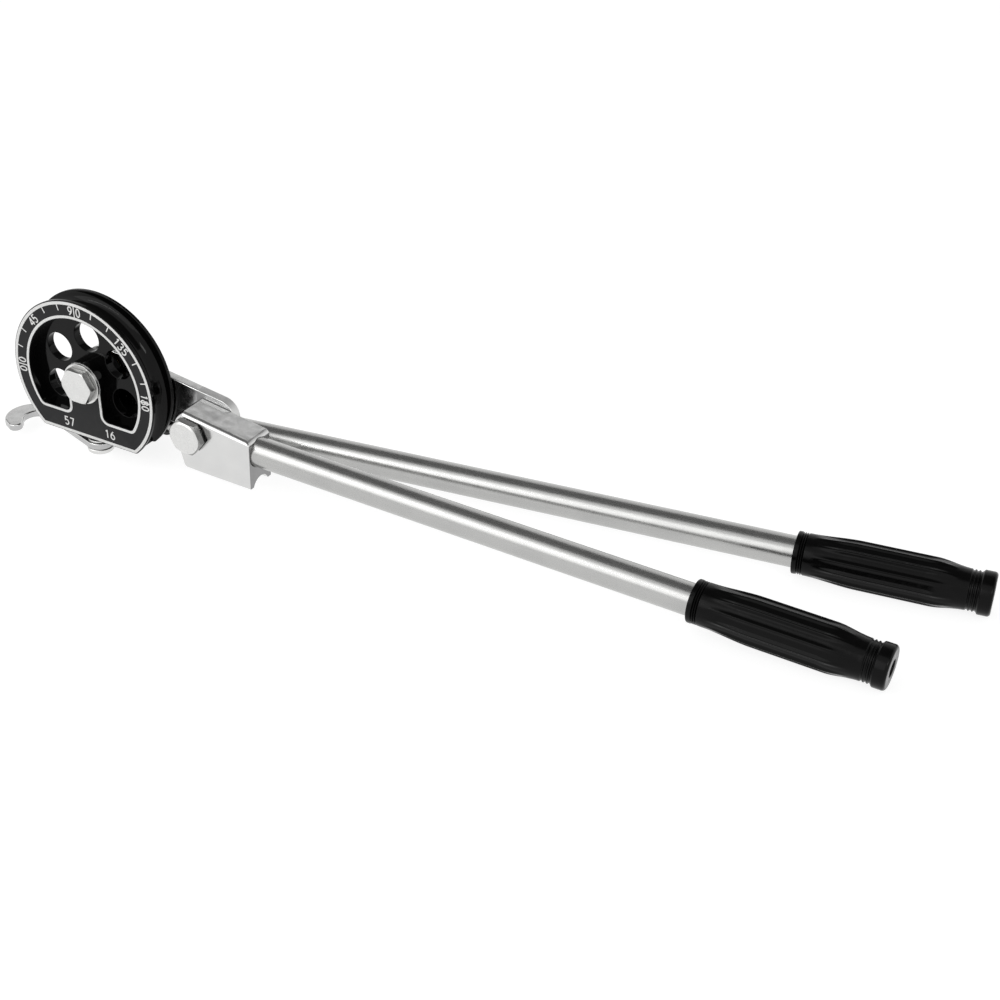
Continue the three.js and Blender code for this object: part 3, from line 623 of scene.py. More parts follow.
# %% Wheel sizes
WHEEL_RADIUS = 57.0
BENT_TUBE_RADIUS = 8.0
RIM_ROUNDING = 0.6
GROOVE_LIP = 0.35
RIM_INNER_RADIUS = 44.5
HUB_RADIUS = 16.0
HUB_BACK = 20.6
HUB_BORE = 8.9
WINDOW_DEPTH = 8.0
WEB_THICKNESS = 6.0
WEB_BACK = WINDOW_DEPTH + WEB_THICKNESS
FLAT_HEIGHT = -41.6
FLAT_CORNER = 3.0
WINDOW_FLOOR = -24.5
WINDOW_CORNER = 3.0
STEM_HALF_WIDTH = 14.0
STEM_FOOT = 4.0
BOSS_RADIUS = 14.6
EDGE_EASE = 0.45
WEB_HOLE_RADIUS = 10.0
WEB_HOLE_CIRCLE = 29.0
WEB_HOLE_ANGLES = (-22, 34, 90, 146, 202)
OVERRUN = 2.0
WHEEL_STEPS = 240
RIM_STEPS = 6
FLAT_CORNER_STEPS = 12
FILLET_STEPS = 8
ARCH_STEPS = 120
CROWN_STEPS = 60
GROOVE_STEPS = 40
GROOVE_HALF_ANGLE = 93
WEB_FILLET = 1.6


def corner_in(rim, floor, rounding):
    """A rounded corner between a circle about the axle and a level floor: its centre and its last angle."""
    height = floor + rounding
    x = math.sqrt((rim - rounding) ** 2 - height ** 2)
    return x, height, math.degrees(math.atan2(height, x))


def mirrored(points):
    return [(-x, z) for x, z in reversed(points)]


def wheel_profile():
    groove = arc(WHEEL_RADIUS, CENTER_DEPTH, BENT_TUBE_RADIUS, WHOLE - GROOVE_HALF_ANGLE, GROOVE_HALF_ANGLE,
                 GROOVE_STEPS)
    front_lip = front_edge(WHEEL_RADIUS, 0, RIM_ROUNDING, RIM_STEPS)
    back_lip = back_edge(WHEEL_RADIUS, WHEEL_WIDTH, RIM_ROUNDING, RIM_STEPS)
    half_groove = BENT_TUBE_RADIUS + GROOVE_LIP
    web = WEB_BACK + WEB_FILLET
    return ([(HUB_BORE, 0)] + front_lip + [(WHEEL_RADIUS, CENTER_DEPTH - half_groove)] + groove
            + [(WHEEL_RADIUS, CENTER_DEPTH + half_groove)] + back_lip
            + arc(RIM_INNER_RADIUS + EDGE_EASE, WHEEL_WIDTH - EDGE_EASE, EDGE_EASE, 90, 180, ROUNDING_STEPS)
            + arc(RIM_INNER_RADIUS - WEB_FILLET, web, WEB_FILLET, 0, -90, RIM_STEPS)
            + arc(HUB_RADIUS + WEB_FILLET, web, WEB_FILLET, -90, -180, RIM_STEPS)
            + back_edge(HUB_RADIUS, HUB_BACK, EDGE_EASE) + [(HUB_BORE, HUB_BACK)])


def keeper_outline(grow):
    """What the flat foot leaves of the disc, everything above the flat, its two corners rounded."""
    reach = WHEEL_RADIUS + OVERRUN
    x, height, angle = corner_in(WHEEL_RADIUS, FLAT_HEIGHT, FLAT_CORNER)
    corner = arc(x, height, FLAT_CORNER + grow, -90, angle, FLAT_CORNER_STEPS)
    last_x, last_z = corner[-1]
    tangent = last_z - (reach - last_x) / math.tan(math.radians(angle))
    right = corner + [(reach, tangent), (reach, reach)]
    return right + mirrored(right)


def window_outline(grow):
    """The arched window with the stem and the boss standing in it; grow moves its edge into the face."""
    x, height, angle = corner_in(RIM_INNER_RADIUS, WINDOW_FLOOR, WINDOW_CORNER)
    boss = BOSS_RADIUS - grow
    boss_angle = math.degrees(math.acos((STEM_HALF_WIDTH - grow) / boss))
    foot_x, foot_height = STEM_HALF_WIDTH + STEM_FOOT, WINDOW_FLOOR + STEM_FOOT
    right = (arc(foot_x, foot_height, STEM_FOOT + grow, 180, 270, FILLET_STEPS)
             + arc(x, height, WINDOW_CORNER + grow, -90, angle, FILLET_STEPS))
    arch = arc(0, 0, RIM_INNER_RADIUS + grow, angle, 180 - angle, ARCH_STEPS)[1:-1]
    crown = arc(0, 0, boss, 180 + boss_angle, -boss_angle, CROWN_STEPS)
    return right + arch + mirrored(right) + crown


def stacked(name, outline_at, sections):
    return skin(name, [[(x, depth, z) for x, z in outline_at(grow)] for grow, depth in sections])


def eased_sections(front, back, ease):
    """Pairs of growth and depth that widen an outline towards its front end."""
    mouth = [(wide, front + deep) for wide, deep in edge_rows(ease, EDGE_STEPS)]
    return [(ease, front - OVERRUN)] + mouth + [(0, back)]


print("window points", len(window_outline(0)), "profile points", len(wheel_profile()))

# %% [markdown]
# The rear handle's socket is part of the casting: a round barrel behind the wheel, joined to it by a thick
# web whose top edges stop the link when the handles meet and when the tool is fully open. The latch's boss
# stands under the flat. They are welded on after the window is cut, as the cuts do not reach them.

# %% Wheel casting
SOCKET_RADIUS = 12.5
SOCKET_INNER_END = -19.0
SOCKET_MOUTH = 37.0
SOCKET_DOME = 5.0
SOCKET_DOME_STEPS = 10
SOCKET_RIM_STEPS = 5
SOCKET_BORE = 9.775
SOCKET_BORE_START = -10.2
LINK_HALF_WIDTH = 16.5
SEAT_GAP = 0.2
OPEN_STOP_ANGLE = 2.15
LATCH_BOSS_RADIUS = 8.0
LATCH_BOSS_BOTTOM = -45.7
LATCH_HOLE = 4.25
WEB_EASE = 1.2
LATCH_HOLE_DEPTH = 14.2
BOSS_CHAMFER = 0.4
BOSS_BEAD = 0.5
BOSS_BEAD_START = -1.0
BOSS_BEAD_CREST = 0.2
BOSS_ROOT = 6.0
BOSS_STEPS = 64
LATCH_HOLE_STEPS = 48
SOCKET_FLARE = 0.4
SOCKET_CHAMFER = 0.5
TUBE_STEPS = 96
FORM_PIN_PLACE = 14.0
FORM_PIN_SPAN = (-10, 15)
PIN_HOLE = 2.75


def stop_height(x, angle):
    lean = math.radians(angle)
    return -(LINK_HALF_WIDTH + SEAT_GAP) / math.cos(lean) + x * math.tan(lean)


def socket_web():
    closed_angle = math.degrees(link_angle)
    outline = [
        (SOCKET_INNER_END, FLAT_HEIGHT),
        (SOCKET_MOUTH, FLAT_HEIGHT),
        (SOCKET_MOUTH, stop_height(SOCKET_MOUTH, closed_angle)),
        (0, stop_height(0, closed_angle)),
        (SOCKET_INNER_END, stop_height(SOCKET_INNER_END, OPEN_STOP_ANGLE)),
    ]
    return rounded_slab("socket_web", outline, WEB_BACK - WEB_THICKNESS / 2, FORM_HANDLE_DEPTH, WEB_EASE)


def in_form_handle(thing):
    """From the rear handle's own frame into the wheel's."""
    return moved(thing, wheel_frame.inverted() @ form_handle_frame)


def socket_barrel():
    dome = front_edge(SOCKET_RADIUS, SOCKET_INNER_END, SOCKET_DOME, SOCKET_DOME_STEPS)
    rim = back_edge(SOCKET_RADIUS, SOCKET_MOUTH, RIM_ROUNDING, SOCKET_RIM_STEPS)
    profile = [(0, SOCKET_INNER_END)] + dome[1:] + rim + [(0, SOCKET_MOUTH)]
    return in_form_handle(along_x(turned("socket_barrel", profile, TUBE_STEPS)))


def socket_drill(name, start, mouth, chamfer):
    """Cuts a tube's socket with a chamfered mouth."""
    wide, flare = SOCKET_BORE + chamfer, mouth - SOCKET_FLARE
    return along_x(turned(name, [
        (0, start), (SOCKET_BORE, start), (SOCKET_BORE, flare), (wide, flare + chamfer),
        (wide, mouth + OVERRUN), (0, mouth + OVERRUN)], TUBE_STEPS))


def latch_boss():
    radius, bottom, root = LATCH_BOSS_RADIUS, LATCH_BOSS_BOTTOM, FLAT_HEIGHT + BOSS_ROOT
    boss = turned("latch_boss", [
        (0, bottom), (radius - BOSS_CHAMFER, bottom), (radius, bottom + BOSS_CHAMFER),
        (radius, FLAT_HEIGHT + BOSS_BEAD_START), (radius + BOSS_BEAD, FLAT_HEIGHT + BOSS_BEAD_CREST),
        (radius, root), (0, root)], BOSS_STEPS)
    return shifted(along_z(boss), LATCH_X, LATCH_DEPTH)


def wheel_casting():
    wheel = turned("wheel_casting", wheel_profile(), WHEEL_STEPS)
    front = [(-grow, depth) for grow, depth in eased_sections(0, CENTER_DEPTH, RIM_ROUNDING)]
    back = [(grow, WHEEL_WIDTH - depth) for grow, depth in reversed(front[:-1])]
    combined(wheel, "INTERSECT", stacked("keeper", keeper_outline, front + back))
    carved(wheel, stacked("window", window_outline, eased_sections(0, WINDOW_DEPTH, EDGE_EASE)))
    for angle in WEB_HOLE_ANGLES:
        x = WEB_HOLE_CIRCLE * math.cos(math.radians(angle))
        z = WEB_HOLE_CIRCLE * math.sin(math.radians(angle))
        hole = flared_drill("web_hole", WEB_HOLE_RADIUS, WINDOW_DEPTH, WEB_BACK, EDGE_EASE)
        carved(wheel, shifted(hole, x, 0, z))
    combined(wheel, "UNION", socket_web(), socket_barrel(), latch_boss())
    bore = in_form_handle(socket_drill("socket_bore", SOCKET_BORE_START, SOCKET_MOUTH, SOCKET_CHAMFER))
    latch_hole = drill("latch_hole", LATCH_HOLE, LATCH_BOSS_BOTTOM - DRILL_OVERRUN,
                       FLAT_HEIGHT + LATCH_HOLE_DEPTH, LATCH_HOLE_STEPS)
    shifted(along_z(latch_hole), LATCH_X, LATCH_DEPTH)
    pin_hole = in_form_handle(shifted(drill("pin_hole", PIN_HOLE, *FORM_PIN_SPAN), FORM_PIN_PLACE))
    return carved(wheel, bore, latch_hole, pin_hole)


fitted(wheel_casting(), wheel_frame, black_enamel, "form", ["former_wheel"])

# %% [markdown]
# ## The degree scale
# White enamel is wiped into shallow lines on the real face: one line follows the face's edge, one the
# window's edge, short marks stand every fifteen degrees and full lines at 0, 90 and 180. The two outline
# strips are drawn from the same outlines that cut the wheel, so they keep an even width round each corner.

# %% Outline strips
PRINT_HEIGHT = 0.08
PRINT_LAYER = 0.015
PRINT_LAYERS = 3
RIM_LINE_STEPS = 150
EDGE_LINE = (0.7, 2.7)
WINDOW_LINE = (0.5, 2.3)


def face_outline(shrink):
    """The face's own edge: the rim's circle down to the flat, moved inwards."""
    x, height, angle = corner_in(WHEEL_RADIUS, FLAT_HEIGHT, FLAT_CORNER)
    corner = arc(x, height, FLAT_CORNER - shrink, -90, angle, FILLET_STEPS)
    rim = arc(0, 0, WHEEL_RADIUS - shrink, angle, 180 - angle, RIM_LINE_STEPS)[1:-1]
    return corner + rim + mirrored(corner)


def strip(name, outer, inner):
    """A thin raised strip on the face between two outlines with as many points."""
    rings = [[(x, depth, z) for x, z in outline] for outline, depth in (
        (outer, -PRINT_HEIGHT), (inner, -PRINT_HEIGHT), (inner, PRINT_HEIGHT), (outer, PRINT_HEIGHT))]
    return skin(name, rings, closed=True)


def printed(thing):
    return fitted(thing, wheel_frame, dial_white, "form", [])


for name, outline_at, (start, end) in (("face_edge_line", face_outline, EDGE_LINE),
                                       ("window_edge_line", window_outline, WINDOW_LINE)):
    printed(strip(name, outline_at(start), outline_at(end)))

# %% [markdown]
# The marks repeat at one pitch, so Geometry Nodes places them: points are dropped on the ring by their
# index, a small bar is set on each and turned outwards, and every third or sixth point is chosen or
# skipped. The same tree makes the short marks and, with other inputs, the full lines.

# %% Scale marks with Geometry Nodes
MARK_PITCH = 15.0
MARK_COUNT = 13
MARK_WIDTH = 0.75
SHORT_MARK = (50.2, 54.8)
FULL_LINE = (46.4, 54.8)


def group(name, **kinds):
    """A tree that gives geometry, with an input of each kind, and the sockets of its inputs."""
    tree = bpy.data.node_groups.new(name, "GeometryNodeTree")
    tree.interface.new_socket("Geometry", in_out="OUTPUT", socket_type="NodeSocketGeometry")
    for label, kind in kinds.items():
        tree.interface.new_socket(label, in_out="INPUT", socket_type="NodeSocket" + kind)
    return tree, node(tree, "NodeGroupInput").outputs


def painted(tree, geometry, material):
    """The tree ended: its instances made real and given their material."""
    real = node(tree, "GeometryNodeRealizeInstances", {0: geometry})
    coat = node(tree, "GeometryNodeSetMaterial", {"Geometry": real, "Material": material})
    node(tree, "NodeGroupOutput", {0: coat})
    return tree


def polar(tree, angle, reach, axes):
    """The place at an angle and a reach in the plane of two axes."""
    return node(tree, "ShaderNodeCombineXYZ", {
        axis: calc(tree, "MULTIPLY", reach, calc(tree, wave, angle))
        for axis, wave in zip(axes, ("COSINE", "SINE"))})


def mark_tree():
    tree, entry = group("scale_marks", count="Int", pitch="Float", every="Int", chosen="Bool", inner="Float",
                        outer="Float", width="Float", height="Float", ink="Material")
    index = node(tree, "GeometryNodeInputIndex")
    angle = calc(tree, "RADIANS", calc(tree, "MULTIPLY", index, entry["pitch"]))
    middle = calc(tree, "MULTIPLY", calc(tree, "ADD", entry["inner"], entry["outer"]), 0.5)
    points = node(tree, "GeometryNodePoints", {
        "Count": entry["count"], "Position": polar(tree, angle, middle, "XY")})
    length = calc(tree, "SUBTRACT", entry["outer"], entry["inner"])
    size = node(tree, "ShaderNodeCombineXYZ", {"X": length, "Y": entry["width"], "Z": entry["height"]})
    on_beat = calc(tree, "COMPARE", calc(tree, "MODULO", index, entry["every"]), 0)
    wanted = node(tree, "FunctionNodeBooleanMath", {0: on_beat, 1: entry["chosen"]}, operation="XNOR")
    bars = node(tree, "GeometryNodeInstanceOnPoints", {
        "Points": points, "Instance": node(tree, "GeometryNodeMeshCube", {"Size": size}),
        "Selection": wanted, "Rotation": node(tree, "ShaderNodeCombineXYZ", {"Z": angle})})
    return painted(tree, bars, entry["ink"])


def grown(thing, tree, **values):
    """The object with the tree's result as its plain mesh; values go in by the names of the tree's inputs."""
    modifier = thing.modifiers.new(tree.name, "NODES")
    modifier.node_group = tree
    for socket in tree.interface.items_tree:
        if socket.name in values:
            modifier[socket.identifier] = values[socket.name]
    return settled(thing)


def blank(name):
    return in_scene(name, bpy.data.meshes.new(name))


marks = mark_tree()
for name, every, chosen, (inner, outer) in (("short_marks", 3, False, SHORT_MARK),
                                            ("full_lines", 6, True, FULL_LINE)):
    thing = grown(blank(name), marks, count=MARK_COUNT, pitch=MARK_PITCH, every=every, chosen=chosen,
                  inner=inner, outer=outer, width=MARK_WIDTH, height=2 * (PRINT_HEIGHT + PRINT_LAYER),
                  ink=dial_white)
    printed(along_z(thing))

# %% [markdown]
# ## The numbers
# An engraver's numbers are single strokes of even width, and a type face would not give them. So each digit
# is drawn as one to three pen paths in a unit box. Only plain degree numbers and sizes are drawn.

# %% Pen paths of the digits
DIGIT_HEIGHT = 5.4
DIGIT_PITCH = 4.2
SPLIT_HEIGHT = 5.6
SPLIT_GAP = 2.3
PEN_WIDTH = 0.85
DIGIT_RADIUS = 50.6
PATH_STEPS = 20


def oval(center_x, center_y, wide, tall, start, end):
    """Part of an oval, from start to end in degrees."""
    return [(center_x + wide * x, center_y + tall * y) for x, y in arc(0, 0, 1, start, end, PATH_STEPS)]


def digit_paths(digit):
    """Pen paths in a box of height 1 about x = 0; the pen lifts at a corner, or its line would thin there."""
    return {
        "0": [oval(0, 0.5, 0.25, 0.5, 0, WHOLE)],
        "1": [[(-0.14, 0.8), (0.05, 0.98)], [(0.05, 1.03), (0.05, 0)]],
        "3": [oval(-0.02, 0.76, 0.22, 0.24, 150, -90), oval(-0.02, 0.26, 0.26, 0.26, 90, -150)],
        "4": [[(0.13, 0), (0.13, 1.05)], [(0.13, 1), (-0.32, 0.27)], [(-0.37, 0.27), (0.32, 0.27)]],
        "5": [[(0.21, 1), (-0.25, 1)], [(-0.18, 1.03), (-0.21, 0.52)],
              oval(-0.02, 0.31, 0.26, 0.31, 138, -145)],
        "6": [oval(0, 0.3, 0.25, 0.3, 0, WHOLE), [(-0.25, 0.32), (-0.2, 0.62), (0.1, 1)]],
        "7": [[(-0.25, 1), (0.29, 1)], [(0.24, 1.03), (-0.08, 0)]],
        "8": [oval(0, 0.76, 0.2, 0.24, 0, WHOLE), oval(0, 0.26, 0.26, 0.26, 0, WHOLE)],
        "9": [oval(0, 0.7, 0.25, 0.3, 0, WHOLE), [(0.25, 0.68), (0.2, 0.38), (-0.1, 0)]],
    }[digit]


def written(text, pitch, height, gap=0.0):
    """The text's pen paths centred on the origin, with an extra gap at its middle."""
    paths = []
    for place, digit in enumerate(text):
        offset = place - (len(text) - 1) / 2
        shift = offset * pitch + math.copysign(gap / 2, offset) * (offset != 0)
        for path in digit_paths(digit):
            paths.append([(shift + x * height, (y - 0.5) * height) for x, y in path])
    return paths


def on_ring(paths, angle):
    """Pen paths carried to the ring at a wheel angle, their tops outwards."""
    lean = math.radians(angle - 90)
    turn_in = Matrix.Rotation(lean, 2)
    out = Vector((math.cos(math.radians(angle)), math.sin(math.radians(angle)))) * DIGIT_RADIUS
    return [[tuple(turn_in @ Vector(point) + out) for point in path] for path in paths]


numbers = []
for text, angle, split in (("00", 180, True), ("45", 135, False), ("90", 90, True), ("135", 45, False),
                           ("180", 0, False)):
    height, gap = (SPLIT_HEIGHT, SPLIT_GAP) if split else (DIGIT_HEIGHT, 0)
    numbers += on_ring(written(text, DIGIT_PITCH, height, gap), angle)
print("pen paths", len(numbers))

# %% [markdown]
# The pen is a second node tree: the edges of each path become a curve, a flat rectangle follows it, and its
# ends are capped. Neighbouring strokes lie in thin layers of their own, because faces that share a plane
# where they cross would show as dark spots.

# %% Pen strokes with Geometry Nodes
FOOT_DIGIT_HEIGHT = 5.8
FOOT_DIGIT_PITCH = 4.6
FOOT_HEIGHT = -33.2
FOOT_NUMBERS = (("57", -16), ("16", 18))
TOUCHING = 1e-6


def stroke_tree():
    tree, entry = group("pen_strokes", paths="Geometry", pen_width="Float", height="Float", ink="Material")
    curves = node(tree, "GeometryNodeMeshToCurve", {"Mesh": entry["paths"]})
    normals = node(tree, "GeometryNodeSetCurveNormal", {"Curve": curves}, mode="Z_UP")
    nib = node(tree, "GeometryNodeCurvePrimitiveQuadrilateral", {
        "Width": entry["pen_width"], "Height": entry["height"]})
    run = node(tree, "GeometryNodeCurveToMesh", {"Curve": normals, "Profile Curve": nib, "Fill Caps": True})
    return painted(tree, run, entry["ink"])


def path_object(name, paths):
    """Edges along each path, closed if it ends where it began; neighbours lie in layers of their own."""
    points, edges = [], []
    for number, path in enumerate(paths):
        lift = PRINT_LAYER * (2 + number % PRINT_LAYERS)
        loops = (Vector(path[0]) - Vector(path[-1])).length < TOUCHING
        path = path[:-1] if loops else path
        first = len(points)
        points += [(x, y, lift) for x, y in path]
        edges += [(first + place, first + place + 1) for place in range(len(path) - 1)]
        if loops:
            edges.append((first + len(path) - 1, first))
    thing = blank(name)
    thing.data.from_pydata(points, edges, [])
    return thing


strokes = stroke_tree()
foot = [[(x + offset, y + FOOT_HEIGHT) for x, y in path] for text, offset in FOOT_NUMBERS
        for path in written(text, FOOT_DIGIT_PITCH, FOOT_DIGIT_HEIGHT)]
for name, paths in (("degree_numbers", numbers), ("size_numbers", foot)):
    thing = grown(path_object(name, paths), strokes, pen_width=PEN_WIDTH, height=2 * PRINT_HEIGHT,
                  ink=dial_white)
    printed(along_z(thing))

# %% [markdown]
# ## Bolts, nuts and washers
# A hexagon head is turned first and milled after: the turning leaves a round face and a cone, the milling
# six flats, and where they meet each flat ends in a curved line. The head is skinned by angle: at each
# angle the flat's distance is known, and the cone tells how far below the face the flat begins.

# %% Hexagon heads
HEX_STEPS = 96
HEX_SIDE = 60.0
CONE_SLOPE = 0.65
HEAD_EASE = 0.3
HEAD_EASE_STEPS = 3
HEAD_EASE_ANGLE = 30.0
WASHER_EASE = 0.3
FACE_EASE = 0.25
FACE_STEP = 0.1
TIP_EASE = 0.8
NUT_EASE = 0.6
NUT_FACE_EASE = 0.5
NUT_FRONT_STEP = 0.05
NUT_BACK_STEP = 0.08
NUT_FRONT_SLOPE = 0.26


def hex_ring(flats, depth_of):
    """Points round a hexagon, the depth of each given by its distance from the axis."""
    ring = []
    for step in range(HEX_STEPS):
        angle = WHOLE * step / HEX_STEPS
        reach = flats / 2 / math.cos(math.radians(angle % HEX_SIDE - HEX_SIDE / 2))
        x, z = reach * math.cos(math.radians(angle)), reach * math.sin(math.radians(angle))
        ring.append((x, depth_of(reach), z))
    return ring


def face_ring(flats, face, depth):
    """The turned face of a head: a circle, clipped by the flats where it is wider than they are."""
    return [(x * min(1.0, face / math.hypot(x, z)), depth, z * min(1.0, face / math.hypot(x, z)))
            for x, _, z in hex_ring(flats, lambda reach: depth)]


def eased(thing):
    bevel = thing.modifiers.new("ease", "BEVEL")
    bevel.width = HEAD_EASE
    bevel.segments = HEAD_EASE_STEPS
    bevel.limit_method = "ANGLE"
    bevel.angle_limit = math.radians(HEAD_EASE_ANGLE)
    return settled(thing)


def circles(pairs):
    return [circle(radius, depth, HEX_STEPS) for radius, depth in pairs]


def hex_bolt(name, flats, face, front, head_back, shank, tip, neck=()):
    """Head towards the viewer, shank going back to the tip, a collar's (radius, depth) pairs between them."""
    rings = [[(0, front, 0)], face_ring(flats - 2 * FACE_EASE, face - FACE_EASE, front),
             face_ring(flats, face, front + FACE_STEP),
             hex_ring(flats, lambda reach: front + 2 * FACE_STEP + max(0, reach - face) * CONE_SLOPE),
             hex_ring(flats, lambda reach: head_back)]
    rings += circles(neck or ((shank, head_back),))
    rings += circles(((shank, tip - TIP_EASE), (shank - TIP_EASE, tip), (0, tip)))
    return eased(skin(name, rings))


def hex_nut(name, flats, bore, front, back):
    face, wide = flats / 2 - NUT_FACE_EASE, bore + NUT_EASE
    rings = [hex_ring(flats, lambda reach: front + NUT_FRONT_STEP + (reach - face) * NUT_FRONT_SLOPE),
             hex_ring(flats, lambda reach: back - NUT_BACK_STEP - (reach - face) * CONE_SLOPE)]
    rings += circles(((face, back), (wide, back), (bore, back - NUT_EASE), (bore, front + NUT_EASE),
                      (wide, front), (face, front)))
    return skin(name, rings, closed=True)


def washer(name, bore, radius, front, back):
    ease = min(WASHER_EASE, (back - front) / 4)
    profile = ([(bore, front), (radius - ease, front)] + front_edge(radius, front, ease)[1:]
               + back_edge(radius, back, ease) + [(bore, back)])
    return turned(name, profile, HEX_STEPS)


print("hexagon ring points", HEX_STEPS)

# %% [markdown]
# The centre bolt clamps a sleeve on which the link turns; only its head, its front washer and, behind, the
# washer and the nut show. The pivot bolt passes through the shoe and the link, with a thin nut behind.

# %% Bolts and nuts
HEAD_FLATS = 22.0
HEAD_BACK = -2.2
CENTER_SHANK = 6.0
WASHER_RADIUS = 14
PIVOT_SHANK = 5.0
PIVOT_COLLAR_RADIUS = 8.2
PIVOT_COLLAR_BACK = -0.7
LINK_FRONT = 21.8
LINK_BACK = 28.6
FIT = 0.25


def on_axle(thing, packed, metal=bolt_zinc):
    fitted(thing, wheel_frame, metal, "form", [packed])


def on_pivot(thing, packed, metal=bolt_zinc):
    fitted(shifted(thing, LINK_LENGTH), link_frame, metal, "link", [packed])


bore = CENTER_SHANK + FIT
on_axle(hex_bolt("center_bolt_zinc", HEAD_FLATS, face=11.6, front=-7.2, head_back=HEAD_BACK,
                 shank=CENTER_SHANK, tip=38.5), "center_bolt", shaded_head_zinc)
on_axle(washer("front_washer_zinc", bore, WASHER_RADIUS, front=-2, back=-SEAT_GAP), "center_washer_front")
on_axle(washer("back_washer_zinc", bore, WASHER_RADIUS, front=28.8, back=30.3), "center_washer_back")
on_axle(hex_nut("center_nut_zinc", HEAD_FLATS, bore, front=30.5, back=36.5), "center_nut")
collar = ((PIVOT_COLLAR_RADIUS, HEAD_BACK), (PIVOT_COLLAR_RADIUS, PIVOT_COLLAR_BACK),
          (PIVOT_SHANK, PIVOT_COLLAR_BACK))
on_pivot(hex_bolt("pivot_bolt_zinc", HEAD_FLATS, face=10.1, front=-7.7, head_back=HEAD_BACK,
                  shank=PIVOT_SHANK, tip=34.3, neck=collar), "pivot_bolt", shaded_head_zinc)
on_pivot(hex_nut("pivot_nut_zinc", flats=18.5, bore=PIVOT_SHANK + FIT, front=28.8, back=33.8), "pivot_nut")

# %% [markdown]
# ## The link
# A thick flat bar with round ends, polished and plated. Its edges are softened by the polishing wheel, so
# the slab's rounding is a little larger than a machined edge.

# %% Link plate
LINK_EASE = 0.9
LINK_END_REACH = 17.4
LINK_END_RADIUS = 11.5
LINK_ROUND_STEPS = 60
LINK_END_STEPS = 24
BUSH_HOLE = 10.95


def link_plate():
    corner_x = LINK_LENGTH + LINK_END_REACH - LINK_END_RADIUS
    corner_z = LINK_HALF_WIDTH - LINK_END_RADIUS
    outline = (arc(0, 0, LINK_HALF_WIDTH, 90, 270, LINK_ROUND_STEPS)
               + arc(corner_x, -corner_z, LINK_END_RADIUS, -90, 0, LINK_END_STEPS)
               + arc(corner_x, corner_z, LINK_END_RADIUS, 0, 90, LINK_END_STEPS))
    plate = rounded_slab("link_bar", outline, LINK_FRONT, LINK_BACK, LINK_EASE)
    bush_hole = flared_drill("bush_hole", BUSH_HOLE, LINK_FRONT, LINK_BACK)
    pivot_hole = flared_drill("pivot_hole", PIVOT_SHANK + FIT, LINK_FRONT, LINK_BACK)
    return carved(plate, bush_hole, shifted(pivot_hole, LINK_LENGTH))


fitted(link_plate(), link_frame, link_nickel, "link", ["link_plate"])

# %% [markdown]
# ## The forming shoe
# A forged block, polished all over: its outline is a nose round the pivot, a falling top, an upright end for
# the handle's socket and a slanted heel. Long soft edges catch the light as bright lines. The half-round
# groove underneath, the socket, the pivot's bore and the pin hole are cut into it.

# %% Shoe block
SHOE_FRONT = -0.5
SHOE_BACK = 21.5
SHOE_NOSE = 14.5
SHOE_LENGTH = 45.2
SHOE_TOP_RISE = 12.4
SHOE_END_TOP = 6.6
SHOE_HEEL_SLANT = 15.5
SHOE_HEEL_RADIUS = 4.0
SHOE_EASE = 3.4
SHOE_END_EASE = 0.9
SHOE_BACK_EASE = 0.4
SHOE_CORNER = 3.5
SHOE_FACE_DROP = 26.4
SHOE_FACE_TRIM = 1.2
SHOE_FACE_EASE = 0.5
CUT_BESIDE = 4.0
CUT_BELOW = 20.0
SHOE_GAP = 3.0
SHOE_SOCKET_START = 13.2
SHOE_SOCKET_CHAMFER = 0.4
SHOE_EASE_STEPS = 8
SHOE_NOSE_STEPS = 48
SHOE_CORNER_STEPS = 12
SHOE_PIN_PLACE = (SHOE_SOCKET_START + SHOE_LENGTH) / 2
SHOE_PIN_DEPTH = 9.8
SHOE_BORE = 7.3
WASHER_SEAT_RADIUS = 11.25
WASHER_SEAT_FRONT = 20.4


def shoe_outline():
    slant = math.radians(SHOE_HEEL_SLANT)
    bottom = -SHOE_FACE_DROP - SHOE_FACE_TRIM
    heel_z = bottom + SHOE_HEEL_RADIUS
    heel_x = -(SHOE_NOSE - SHOE_HEEL_RADIUS + heel_z * math.sin(slant)) / math.cos(slant)
    slope = math.atan2(SHOE_END_TOP - SHOE_TOP_RISE, SHOE_LENGTH)
    normal = 90 + math.degrees(slope)
    nose_start = normal + math.degrees(math.acos(SHOE_TOP_RISE * math.cos(slope) / SHOE_NOSE))
    corner_x = SHOE_LENGTH - SHOE_CORNER
    corner_z = SHOE_TOP_RISE + corner_x * math.tan(slope) - SHOE_CORNER / math.cos(slope)
    return (arc(0, 0, SHOE_NOSE, nose_start, 180 + SHOE_HEEL_SLANT, SHOE_NOSE_STEPS)
            + arc(heel_x, heel_z, SHOE_HEEL_RADIUS, 180 + SHOE_HEEL_SLANT, 270, SHOE_CORNER_STEPS)
            + [(SHOE_LENGTH, bottom)]
            + arc(corner_x, corner_z, SHOE_CORNER, 0, normal, SHOE_CORNER_STEPS))


def ease_at(x):
    """Radius of the front edge: wide along the top and the nose, narrow at the handle's end."""
    return SHOE_END_EASE + (SHOE_EASE - SHOE_END_EASE) * min(1.0, (SHOE_LENGTH - x) / SHOE_CORNER)


def shoe_ring(outline, depth, radius_at, inwards, back):
    """The outline at one step of an edge whose radius changes along it."""
    ring = []
    for (x, z), (inner_x, inner_z) in zip(outline, inset(outline, 1.0)):
        radius = radius_at(x)
        step = radius * inwards
        ring.append((x + (inner_x - x) * step, depth + radius * back, z + (inner_z - z) * step))
    return ring


